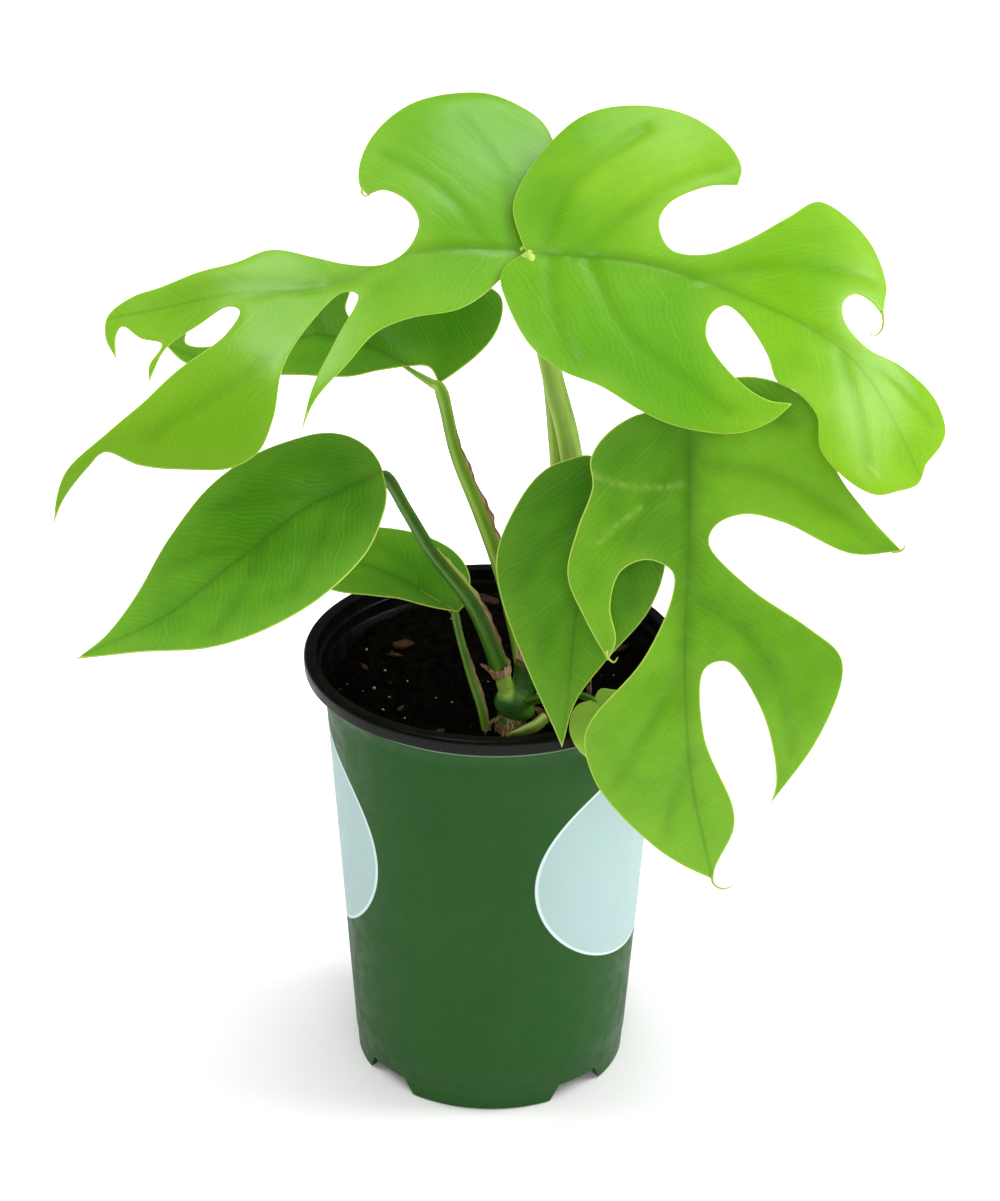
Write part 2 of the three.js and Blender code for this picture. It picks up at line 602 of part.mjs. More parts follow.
function bladeHeight(leaf, along, across) {
  const sideways = across - valueAt(leaf.midrib, along);
  const rounded = Math.hypot(sideways, FOLD_SOFTNESS) - FOLD_SOFTNESS;
  let height = valueAt(leaf.arch, along) + leaf.fold * rounded;
  height -= (sideways > 0 ? leaf.droop[0] : leaf.droop[1]) * sideways * sideways;
  leaf.bends.forEach(([u, v, degrees, rate]) => {
    const turn = THREE.MathUtils.degToRad(degrees);
    const beyond = (along - u) * Math.cos(turn) + (across - v) * Math.sin(turn);
    height -= rate * Math.max(beyond, 0) ** 2;
  });
  return height;
}

// A curved plate with a rib under its midrib, trimmed to the leaf's margin.
function bladeSolid(leaf) {
  const margin = leaf.edge.flatMap((run) => smoothPoints(run, EDGE_STEPS).slice(0, -1));
  const us = margin.map((p) => p.x);
  const vs = margin.map((p) => p.y - valueAt(leaf.midrib, p.x));
  const start = Math.min(...us) - 2;
  const length = Math.max(...us) + 2 - start;
  const rows = Math.ceil(length / BLADE_ROWS);
  const inside = (c, limit) => c < limit + 1;
  const upper = BLADE_COLUMNS.filter((c, i) => i === 0 || inside(BLADE_COLUMNS[i - 1], Math.max(...vs)));
  const lower = BLADE_COLUMNS.filter((c, i) => i > 0 && inside(BLADE_COLUMNS[i - 1], -Math.min(...vs)));
  const columns = [...lower.map((c) => -c).reverse(), ...upper];
  const plate = new THREE.BoxGeometry(1, 1, 1, rows, columns.length - 1, 1);
  const place = plate.attributes.position;
  for (let i = 0; i < place.count; i += 1) {
    const along = start + (place.getX(i) + 0.5) * length;
    const column = columns[Math.round((place.getY(i) + 0.5) * (columns.length - 1))];
    const across = valueAt(leaf.midrib, along) + column;
    const fade = THREE.MathUtils.clamp(1 - along / (start + length), 0.2, 1);
    const rib = MIDRIB_DEPTH * fade * Math.exp(-((column / MIDRIB_WIDTH) ** 2));
    const half = BLADE_THICKNESS / 2;
    const off = place.getZ(i) > 0 ? half : -half - rib;
    place.setXYZ(i, along, across, bladeHeight(leaf, along, across) + off);
  }
  const outline = new THREE.Shape(margin.map((p) => new THREE.Vector2(p.x, p.y)));
  const trim = new THREE.ExtrudeGeometry(outline, { depth: 120, bevelEnabled: false });
  trim.translate(0, 0, -60);
  const blade = solidFrom(plate).intersect(solidFrom(trim));
  return blade.transform(bladePlane(leaf).elements);
}

const plant = new THREE.Group();
const stemClear = stemSolid(GAP);
plant.add(subPart('nursery_pot', nurseryPot(), 'pot'));
plant.add(subPart('main_stem', stemSolid(0), 'stem'));

// Everything that reaches into the soil, or is grown against, leaves its own clearance.
let grown = stemClear;
const byName = new Map();
LEAVES.forEach((leaf) => {
  byName.set(leaf.name, leaf);
  const petiole = petioleSolid(leaf, 0).subtract(grown);
  plant.add(subPart(`petiole_${leaf.name}`, petiole, 'stem'));
  const clearance = petioleSolid(leaf, GAP);
  const blade = bladeSolid(leaf).subtract(clearance);
  plant.add(subPart(`leaf_${leaf.name}`, blade, leaf.finish));
  grown = grown.add(clearance);
});

Object.entries(COLLARS).forEach(([name, collar]) => {
  plant.add(subPart(name, collarSolid(collar).subtract(grown), 'papery'));
});

SHEATHS.forEach(([name, from, to]) => {
  const sheath = sheathSolid(byName.get(name), from, to).subtract(grown);
  plant.add(subPart(`sheath_${name}`, sheath, 'papery'));
});

plant.add(subPart('new_shoot', shootSolid(0).subtract(grown), 'bright'));
grown = grown.add(shootSolid(GAP));

AERIAL_ROOTS.forEach((root, i) => {
  plant.add(subPart(`aerial_root_${i + 1}`, aerialRootSolid(root, 0).subtract(grown), 'root'));
  grown = grown.add(aerialRootSolid(root, GAP));
});

plant.add(subPart('potting_soil', pottingSoil().subtract(grown), 'soil'));

const footprint = new THREE.Box3().setFromObject(plant);
const middle = footprint.getCenter(new THREE.Vector3());
plant.position.set(-middle.x, -middle.y, 0);

export default plant;
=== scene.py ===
# %% [markdown]
# Potted rhaphidophora tetrasperma. A young climbing aroid in a deep nursery pot: eight leaves on
# long leaf stalks, a short knuckled stem, a few roots and a pot full of dark potting mix. The
# plain solids of every piece are loaded first. They fix where each piece is and how large it is,
# and the cells below give each one the surface that the real thing has.

import math
import random

import bmesh
import bpy
import numpy as np
from mathutils import Matrix, Vector, geometry, noise


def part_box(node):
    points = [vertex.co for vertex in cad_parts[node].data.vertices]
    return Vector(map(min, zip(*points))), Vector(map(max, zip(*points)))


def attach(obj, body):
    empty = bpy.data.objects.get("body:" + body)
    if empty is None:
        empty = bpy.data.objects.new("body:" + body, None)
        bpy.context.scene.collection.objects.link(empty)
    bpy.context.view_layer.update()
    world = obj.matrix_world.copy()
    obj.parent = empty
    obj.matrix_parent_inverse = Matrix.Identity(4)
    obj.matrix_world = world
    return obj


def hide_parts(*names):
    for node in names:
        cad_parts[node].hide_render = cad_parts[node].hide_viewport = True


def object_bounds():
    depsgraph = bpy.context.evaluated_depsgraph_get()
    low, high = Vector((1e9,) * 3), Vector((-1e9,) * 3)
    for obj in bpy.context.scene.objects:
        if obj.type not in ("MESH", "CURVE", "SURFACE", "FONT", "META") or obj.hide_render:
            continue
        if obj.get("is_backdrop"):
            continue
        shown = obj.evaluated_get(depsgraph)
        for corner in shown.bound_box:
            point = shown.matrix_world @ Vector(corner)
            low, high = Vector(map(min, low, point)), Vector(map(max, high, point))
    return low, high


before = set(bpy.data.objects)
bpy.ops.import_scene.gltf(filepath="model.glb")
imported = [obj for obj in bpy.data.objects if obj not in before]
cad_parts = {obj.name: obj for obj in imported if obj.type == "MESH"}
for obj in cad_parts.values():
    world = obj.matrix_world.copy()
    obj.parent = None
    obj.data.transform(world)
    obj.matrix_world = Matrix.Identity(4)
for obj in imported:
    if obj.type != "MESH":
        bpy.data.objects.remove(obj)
cad_box = [list(corner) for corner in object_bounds()]
MM = 0.001
pot_low, pot_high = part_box("nursery_pot")
AXIS = Vector(((pot_low.x + pot_high.x) / 2, (pot_low.y + pot_high.y) / 2, 0))


def place(point):
    return AXIS + Vector([float(value) for value in point]) * MM


print("pieces in the frame:", len(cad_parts), "pot axis:", [round(v, 4) for v in AXIS])

# %% [markdown]
# The camera looks down on the rim from a little under one metre, as for a catalogue picture.
# Its lens and height were worked out from the pot: the widths of its lip and foot and how far
# the rim opens into an ellipse leave only one distance that fits.

# %% Camera
CAMERA_PLACE = (0, -960, 648.4)
CAMERA_PITCH = 0.48
CAMERA_YAW = 0.0018
CAMERA_ROLL = 0.0101
FOCAL_PIXELS = 3779.2
IMAGE_HEIGHT = 1201
SENSOR_MM = 36

ahead = Vector((
    math.sin(CAMERA_YAW) * math.cos(CAMERA_PITCH),
    math.cos(CAMERA_YAW) * math.cos(CAMERA_PITCH),
    -math.sin(CAMERA_PITCH),
))
level_right = Vector((math.cos(CAMERA_YAW), -math.sin(CAMERA_YAW), 0))
level_up = level_right.cross(ahead)
right = math.cos(CAMERA_ROLL) * level_right + math.sin(CAMERA_ROLL) * level_up
up = math.cos(CAMERA_ROLL) * level_up - math.sin(CAMERA_ROLL) * level_right
turn = Matrix((right, up, -ahead)).transposed()
camera = bpy.data.objects.new("camera", bpy.data.cameras.new("camera"))
camera.matrix_world = Matrix.Translation(place(CAMERA_PLACE)) @ turn.to_4x4()
camera.data.sensor_width = SENSOR_MM
camera.data.lens = FOCAL_PIXELS / IMAGE_HEIGHT * SENSOR_MM
camera.data.clip_start = 0.01
bpy.context.collection.objects.link(camera)
bpy.context.scene.camera = camera
print("lens in mm:", round(camera.data.lens, 1))

# %% [markdown]
# The room, the paper and every finish are built from small nodes. A wire stands for a value
# that comes out of one of them. Wires are added, subtracted and multiplied like numbers, and
# each such step makes the node that does it, so that a finish reads like the recipe it is.

# %% Wires and nodes


def shade(hex_colour):
    """A colour written as rrggbb, as the linear numbers that shaders take."""
    parts = [int(hex_colour[i:i + 2], 16) / 255 for i in (0, 2, 4)]
    return tuple(((part + 0.055) / 1.055) ** 2.4 if part > 0.04045 else part / 12.92 for part in parts)


class Wire:
    """One output of a node."""

    def __init__(self, node, output=0):
        self.node = node
        self.output = output

    def maths(self, operation, *others):
        inputs = dict(enumerate((self, *others)))
        return add_node(self.node.id_data, "Math", inputs, operation=operation)

    def __add__(self, other):
        return self.maths("ADD", other)

    def __sub__(self, other):
        return self.maths("SUBTRACT", other)

    def __mul__(self, other):
        return self.maths("MULTIPLY", other)

    def step(self, low, high):
        """A smooth step that is 0 at low and 1 at high."""
        inputs = {"Value": self, "From Min": low, "From Max": high}
        return add_node(self.node.id_data, "MapRange", inputs, interpolation_type="SMOOTHSTEP")


def plug(socket, source):
    """Links a wire to a socket, or sets the socket to a number, a vector or a colour."""
    if isinstance(source, Wire):
        socket.id_data.links.new(source.node.outputs[source.output], socket)
    elif socket.type == "RGBA":
        colour = shade(source) if isinstance(source, str) else source
        socket.default_value = (*colour, 1)
    else:
        socket.default_value = source


def add_node(tree, kind, inputs=None, output=0, **settings):
    """Makes a node, sets it, fills its inputs and returns one output as a wire."""
    node = tree.nodes.new("ShaderNode" + kind)
    for label, value in settings.items():
        setattr(node, label, value)
    for key, source in (inputs or {}).items():
        plug(node.inputs[key], source)
    return Wire(node, output)


print("a leaf green as linear numbers:", [round(part, 3) for part in shade("72a20c")])

# %% [markdown]
# A catalogue picture on white has a big soft light high on either side, weaker ones in front,
# above and low on the right, and a bright sweep of paper all round. A waxy leaf also mirrors a
# few small bright things near it, so three little lights show only in reflections and lay the
# pale sheen where such a leaf turns towards them. The room itself is dim in reflections, so
# that the greens and the black plastic stay deep.

# %% Light, floor and background
LIGHTS = [
    ("key", (600, 40, 700), 440, 3.4),
    ("fill", (-560, 60, 700), 440, 3.4),
    ("front", (60, -800, 520), 520, 2.8),
    ("top", (50, -40, 980), 420, 2.2),
    ("side", (820, 0, 560), 420, 3.2),
    ("sheen_left", (-62, -58, 390), 70, 0.1),
    ("sheen_right", (44, 52, 385), 40, 0.035),
    ("sheen_tip", (235, 0, 290), 80, 0.14),
]
LOOK_AT = (0, 0, 150)
PAPER = (0.9, 0.9, 0.895)
WHITE = (1, 1, 1)
ROOM_STRENGTH = 0.5
REFLECTED_ROOM = 0.1
SHADOW_REACH = (40, 420)

for name, at, size, watts in LIGHTS:
    lamp = bpy.data.lights.new(name, "AREA")
    lamp.energy = watts
    lamp.size = size * MM
    holder = bpy.data.objects.new(name, lamp)
    holder.location = place(at)
    toward = place(LOOK_AT) - holder.location
    holder.rotation_euler = toward.to_track_quat("-Z", "Y").to_euler()
    only_reflected = name.startswith("sheen")
    holder.visible_glossy = only_reflected
    holder.visible_diffuse = not only_reflected
    holder.visible_camera = False
    bpy.context.collection.objects.link(holder)

world = bpy.data.worlds.new("white room")
world.use_nodes = True
room = world.node_tree
seen = room.nodes["Background"]
plug(seen.inputs["Color"], WHITE)
plug(seen.inputs["Strength"], 1)
mirrored = add_node(room, "LightPath", output="Is Glossy Ray")
dimmed = add_node(room, "MapRange", {"Value": mirrored, "To Min": ROOM_STRENGTH, "To Max": REFLECTED_ROOM})
lit = add_node(room, "Background", {"Color": WHITE, "Strength": dimmed})
in_view = add_node(room, "LightPath", output="Is Camera Ray")
chosen = add_node(room, "MixShader", {0: in_view, 1: lit, 2: Wire(seen)})
plug(room.nodes["World Output"].inputs["Surface"], chosen)
bpy.context.scene.world = world
bpy.context.scene.view_settings.view_transform = "Standard"

bpy.ops.mesh.primitive_plane_add(size=6, location=(0, 0, -0.0002))
floor = bpy.context.object
floor.name = "paper_floor"
paper = bpy.data.materials.new("paper sweep")
paper.use_nodes = True
sheet = paper.node_tree
from_middle = add_node(sheet, "VectorMath", {0: add_node(sheet, "NewGeometry", output="Position")},
                       "Value", operation="LENGTH")
near, far = (reach * MM for reach in SHADOW_REACH)
from_pot = add_node(sheet, "MapRange", {"Value": from_middle, "From Min": near, "From Max": far})
glow = from_pot * add_node(sheet, "LightPath", output="Is Camera Ray")
paper_look = {"Base Color": PAPER, "Roughness": 0.9, "Emission Color": WHITE, "Emission Strength": glow}
for label, source in paper_look.items():
    plug(sheet.nodes["Principled BSDF"].inputs[label], source)
floor.data.materials.append(paper)
floor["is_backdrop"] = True
print("lights:", len(LIGHTS))

# %% [markdown]
# Two kinds of smooth line are used all over the plant. A path is a centripetal Catmull-Rom
# curve, which passes through its few points without loops. A value along a leaf, such as how
# high its midrib arches, is a smooth step from knot to knot. Both are the same formulas that
# shaped the plain solids, so the fine surfaces fall exactly on them.

# %% Smooth paths and values


def smooth_path(points, counts):
    points = [np.array(point, float) for point in points]
    before = 2 * points[0] - points[1]
    after = 2 * points[-1] - points[-2]
    knots = [before, *points, after]
    path = []
    for i in range(1, len(knots) - 2):
        p0, p1, p2, p3 = knots[i - 1:i + 3]
        pairs = ((p0, p1), (p1, p2), (p2, p3))
        d0, d1, d2 = (max(np.linalg.norm(b - a), 1e-6) ** 0.5 for a, b in pairs)
        slope1 = ((p1 - p0) / d0 - (p2 - p0) / (d0 + d1) + (p2 - p1) / d1) * d1
        slope2 = ((p2 - p1) / d1 - (p3 - p1) / (d1 + d2) + (p3 - p2) / d2) * d1
        for step in range(counts[i - 1]):
            t = step / counts[i - 1]
            path.append(p1 + slope1 * t + (3 * (p2 - p1) - 2 * slope1 - slope2) * t * t
                        + (2 * (p1 - p2) + slope1 + slope2) * t ** 3)
    path.append(points[-1])
    return np.array(path)


def even_path(points, spacing):
    lengths = [math.dist(a, b) for a, b in zip(points, points[1:])]
    return smooth_path(points, [max(2, round(length / spacing)) for length in lengths])


def value_at(knots, x):
    xs, ys = np.array(knots, float).T
    widths = np.diff(xs)
    slopes = np.diff(ys) / widths
    inner = (slopes[:-1] * widths[1:] + slopes[1:] * widths[:-1]) / (widths[:-1] + widths[1:])
    tangents = np.concatenate((slopes[:1], inner, slopes[-1:]))
    i = np.clip(np.searchsorted(xs, x) - 1, 0, len(widths) - 1)
    s = np.clip((x - xs[i]) / widths[i], 0, 1)
    from_start = (1 + 2 * s) * (1 - s) ** 2 * ys[i] + s * (1 - s) ** 2 * widths[i] * tangents[i]
    from_end = s * s * (3 - 2 * s) * ys[i + 1] - s * s * (1 - s) * widths[i] * tangents[i + 1]
    before = np.where(x < xs[0], (x - xs[0]) * slopes[0], 0)
    return from_start + from_end + (before + np.where(x > xs[-1], (x - xs[-1]) * slopes[-1], 0))


print("points on a test path:", len(even_path([(0, 0, 0), (10, 0, 0), (10, 10, 0)], 1)))

# %% [markdown]
# Every piece ends up as one closed mesh. This helper takes its points in millimetres from the
# pot's axis, makes the mesh, hides the plain solid that it stands for and gives it its finish.

# %% Making a piece
TUBE_SIDES = 28


def unit(vector):
    return vector / np.linalg.norm(vector)


def square_to(direction, along):
    """The unit vector nearest to a direction that is at right angles to a line."""
    direction = np.array(direction, float)
    return unit(direction - direction.dot(along) * along)


def heading(path, i):
    return unit(path[min(i + 1, len(path) - 1)] - path[max(i - 1, 0)])


def hump(x, width):
    """A soft bump that is 1 where x is 0."""
    return np.exp(-(x / width) ** 2)


def full_turn(count):
    return np.linspace(0, 2 * math.pi, count, endpoint=False)


def waver(x, y, z):
    """A number between -1 and 1 that changes smoothly from place to place."""
    return noise.noise(Vector((x, y, z)))


def smooth_shade(piece, angle=None):
    piece.data.polygons.foreach_set("use_smooth", [True] * len(piece.data.polygons))
    if angle is not None:
        piece.data.set_sharp_from_angle(angle=math.radians(angle))


def new_piece(name, shape, finish, nodes=(), slot=None):
    points, faces = shape
    mesh = bpy.data.meshes.new(name)
    mesh.from_pydata((np.array(points, float) * MM + np.array(AXIS)).tolist(), [], faces)
    mesh.materials.append(finish)
    piece = bpy.data.objects.new(name, mesh)
    bpy.context.collection.objects.link(piece)
    smooth_shade(piece)
    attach(piece, "root")
    if nodes:
        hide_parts(*nodes)
    return piece


def add_number(piece, name, values):
    layer = piece.data.attributes.new(name, "FLOAT", "POINT")
    layer.data.foreach_set("value", np.array(values, np.float32))


def quads(rows, columns, closed=True):
    """The faces of a net whose points are numbered row by row."""
    faces = []
    for i in range(rows - 1):
        for k in range(columns if closed else columns - 1):
            a, b = i * columns + k, i * columns + (k + 1) % columns
            faces.append((a, b, b + columns, a + columns))
    return faces


def swept_tube(path, outline, facing):
    """A closed tube along a path. outline(t, angles) gives the section's radius in mm."""
    angles = full_turn(TUBE_SIDES)
    last = len(path) - 1
    points = []
    for i, centre in enumerate(path):
        along = heading(path, i)
        front = square_to(facing, along)
        side = np.cross(along, front)
        spokes = np.cos(angles)[:, None] * front + np.sin(angles)[:, None] * side
        points.extend(centre + outline(i / last, angles)[:, None] * spokes)
    faces = quads(len(path), TUBE_SIDES)
    faces.append(tuple(range(TUBE_SIDES - 1, -1, -1)))
    faces.append(tuple(last * TUBE_SIDES + k for k in range(TUBE_SIDES)))
    return points, faces


def join_shapes(shapes):
    points, faces = [], []
    for more_points, more_faces in shapes:
        start = len(points)
        points.extend(more_points)
        faces.extend(tuple(start + index for index in face) for face in more_faces)
    return points, faces


print("sides of a tube:", TUBE_SIDES)

# %% [markdown]
# Several finishes share the same small effects, so each effect is a node group made once.
# "Mottle" gives soft cloudy patches for living tissue and damp soil. "Fleck" scatters small
# sharp-edged spots for scars and grit. "Fine grain" is the height of a skin's texture. They
# hand out masks and heights only: the shader itself stays in each material.

# %% Shared effects


def new_group(name, numbers, outputs):
    """An effect that takes a vector and named numbers, and gives named numbers."""
    group = bpy.data.node_groups.new(name, "ShaderNodeTree")
    group.interface.new_socket("Vector", in_out="INPUT", socket_type="NodeSocketVector")
    for label, value in numbers.items():
        socket = group.interface.new_socket(label, in_out="INPUT", socket_type="NodeSocketFloat")
        socket.default_value = value
    for label in outputs:
        group.interface.new_socket(label, in_out="OUTPUT", socket_type="NodeSocketFloat")
    start = group.nodes.new("NodeGroupInput")
    takes = {label: Wire(start, label) for label in ("Vector", *numbers)}
    return group, takes, group.nodes.new("NodeGroupOutput").inputs


def cloudy(tree, vector, scale, detail=2, roughness=0.5):
    inputs = {"Vector": vector, "Scale": scale, "Detail": detail, "Roughness": roughness}
    return add_node(tree, "TexNoise", inputs)


mottle, takes, gives = new_group("Mottle", {"Scale": 60, "Contrast": 0.2}, ["Mask"])
cloud = cloudy(mottle, takes["Vector"], takes["Scale"], 4, 0.55)
plug(gives["Mask"], cloud.step(takes["Contrast"] * -1 + 0.5, takes["Contrast"] + 0.5))

fleck, takes, gives = new_group("Fleck", {"Scale": 400, "Amount": 0.1}, ["Mask"])
cells = add_node(fleck, "TexVoronoi", {"Vector": takes["Vector"], "Scale": takes["Scale"]}, "Distance")
picked = Wire(cells.node, "Color").maths("LESS_THAN", takes["Amount"])
plug(gives["Mask"], picked * cells.step(0.42, 0.22))

grain, takes, gives = new_group("Fine grain", {"Scale": 1500}, ["Height"])
fine = cloudy(grain, takes["Vector"], takes["Scale"] * 2.7, 1)
plug(gives["Height"], cloudy(grain, takes["Vector"], takes["Scale"]) + fine * 0.5)


class Finish:
    """A material in the making."""

    def __init__(self, name):
        self.material = bpy.data.materials.new(name)
        self.material.use_nodes = True
        self.tree = self.material.node_tree
        self.where = add_node(self.tree, "TexCoord", output="Object")

    def drawn_out(self, share):
        """The place on the piece with its height shrunk, which draws a pattern out upwards."""
        return add_node(self.tree, "Mapping", {"Vector": self.where, "Scale": (1, 1, share)})

    def effect(self, group, vector=None, **numbers):
        inputs = {"Vector": vector or self.where, **numbers}
        return add_node(self.tree, "Group", inputs, node_tree=group)

    def number(self, name):
        return add_node(self.tree, "Attribute", output="Fac", attribute_name=name)

    def layers(self, colour, *coats):
        """Lays coats over a colour, each as far as its mask says."""
        for mask, coat in coats:
            colour = add_node(self.tree, "Mix", {0: mask, 6: colour, 7: coat}, 2, data_type="RGBA")
        return colour

    def cover(self, colour, roughness, height, strength, depth, more=None):
        """Fills the shader. The relief has a height, a strength and a depth in metres."""
        relief = add_node(self.tree, "Bump", {"Strength": strength, "Distance": depth, "Height": height})
        look = {"Base Color": colour, "Roughness": roughness, "Normal": relief, **(more or {})}
        for label, source in look.items():
            plug(self.tree.nodes["Principled BSDF"].inputs[label], source)
        return self.material


print("shared effects:", [group.name for group in bpy.data.node_groups])

# %% [markdown]
# A leaf of this plant has one strong midrib and many side veins that leave it at a steep angle
# and bow towards the tip. Each blade carries a flat map of itself: distance along the midrib
# and distance away from it. The veins are drawn on that map, so they turn with the blade, bend
# with its lobes and meet the midrib on both sides, whatever shape the margin has.

# %% Leaf vein effect
MAP_MM = 100
WOBBLE_MM = 7
SIDE_SHIFT_MM = 4.3
VEINLET_SHARE = 0.22
VEIN_OUTPUTS = ["Midrib", "Veins", "Veinlets", "Swell"]
vein_numbers = {"Spacing": 9, "Slant": 0.75, "Bow": 0.004, "Width": 0.45}
veins, takes, gives = new_group("Leaf veins", vein_numbers, VEIN_OUTPUTS)
on_map = add_node(veins, "SeparateXYZ", {0: takes["Vector"]})
across_map = Wire(on_map.node, 1) * MAP_MM
away = across_map.maths("ABSOLUTE")
reach = on_map * MAP_MM - away * takes["Slant"] - away * away * takes["Bow"]
reach = reach + cloudy(veins, takes["Vector"], 9) * WOBBLE_MM
reach = reach + across_map.maths("GREATER_THAN", 0) * SIDE_SHIFT_MM
half_gap = takes["Spacing"] * 0.5
from_vein = reach.maths("PINGPONG", half_gap)
small_gap = takes["Spacing"] * VEINLET_SHARE
from_veinlet = reach.maths("PINGPONG", small_gap * 0.5)
plug(gives["Midrib"], away.step(takes["Width"] * 2, 0))
plug(gives["Veins"], from_vein.step(takes["Width"], 0))
plug(gives["Veinlets"], from_veinlet.step(small_gap * 0.4, 0))
plug(gives["Swell"], from_vein.maths("DIVIDE", half_gap))
print("leaf vein outputs:", VEIN_OUTPUTS)

# %% [markdown]
# The blade's skin is waxy: a satin coat over tissue that glows where light comes through. The
# upper side is greener and has sunken, darker midribs; the underside is paler, with a raised
# midrib. A thin bare rim runs round the margin and looks pale yellow, because no green tissue
# lies under it there. Blades low in the pot get a darker copy of the green than those in full
# light, which is painted shade. The bands along the creases are painted darker as shade, and soft
# lighter and darker patches are painted where a blade is lit or shaded.

# %% Leaf finish
LEAF_RIM = "c3d460"
PALE_RIM = "a8c850"
LEAF_VEIN = "a8cc5a"
LEAF_SCAR = "b4c866"
YOUNG_GREEN = (0.45, 0.62, 0.1)
WASHED_GREEN = (0.5, 0.62, 0.22)
TISSUE = {"Subsurface Radius": (0.6, 1, 0.2), "Subsurface Scale": 0.002}


def leaf_material(name, light, deep, rim=LEAF_RIM, rim_mm=0.4, sheen=0.35, pale=0, wax=0.45):
    leaf = Finish(name)
    net = leaf.effect(veins, add_node(leaf.tree, "UVMap", uv_map="blade"))
    midrib, side_veins, veinlets, swell = (Wire(net.node, label) for label in VEIN_OUTPUTS)
    patches = leaf.effect(mottle, Scale=38, Contrast=0.22)
    spots = leaf.effect(mottle, Scale=420, Contrast=0.3)
    # Lighter towards the tip, plus the painted light and shade patches of each leaf.
    young = leaf.number("tip_and_painted_light") * 0.75 + patches * 0.4
    edge = leaf.number("edge_mm")
    darker = tuple(0.55 * part for part in shade(deep))
    lighter = leaf.layers(light, (0.5, YOUNG_GREEN))
    washed = leaf.layers(light, (0.45, WASHED_GREEN))
    colour = leaf.layers(
        deep,
        (young.step(0.05, 1.05), light),
        (spots * 0.16, deep),
        (veinlets * 0.06, lighter),
        (side_veins * 0.045, LEAF_VEIN),
        # Darker along the midrib, its own colour, and along the creases, painted shade.
        (leaf.number("vein_and_crease_shade") * 0.42, darker),
        (midrib * 0.3, darker),
        (leaf.number("scar") * 0.28, LEAF_SCAR),
        (edge.step(9, 0) * (0.12 + pale), lighter),
        (leaf.number("under") * 0.55, washed),
        (edge.step(rim_mm, 0.5 * rim_mm) * 0.6, rim),
    )
    relief = swell * 0.25 - side_veins * 0.1 + spots * 0.25 + leaf.effect(grain, Scale=900) * 0.25
    glow = {"Subsurface Weight": 0.12, "Specular IOR Level": wax, **TISSUE}
    return leaf.cover(colour, patches * 0.08 + sheen, relief, 0.2, 0.0005, glow)


# Painted light and shade: each group of leaves gets its own copy of the green, lighter for blades in full
# light and darker for blades in shade.
leaf_finishes = {
    "bright": leaf_material("leaf in full light", "72a20c", "4c8906", PALE_RIM, 0.3, 0.27, wax=0.22),
    "arching": leaf_material("arching leaf", "66980a", "508a06", PALE_RIM, 0.3, 0.28, wax=0.35),
    "clear": leaf_material("leaf turned down", "70aa14", "417c07", sheen=0.3, wax=0.25),
    "deep": leaf_material("leaf in shade", "568e16", "346c0a", wax=0.15),
    "pale": leaf_material("leaf at the rim", "a3cc40", "568a1e", pale=0.2),
}
print("leaf finishes:", list(leaf_finishes))

# %% [markdown]
# The leaves themselves. A blade could be sculpted by hand, but a measured leaf is easier to
# keep true: its margin is drawn flat, as a botanist traces a pressed leaf, and the flat shape
# is then bent. Each leaf lies on a chord from the base of its midrib to its tip. Along that
# chord the midrib arches, the two halves fold up from it and droop again outwards, and a bend
# turns down whatever lies past a line across the blade. Runs of edge meet at the leaf's points.

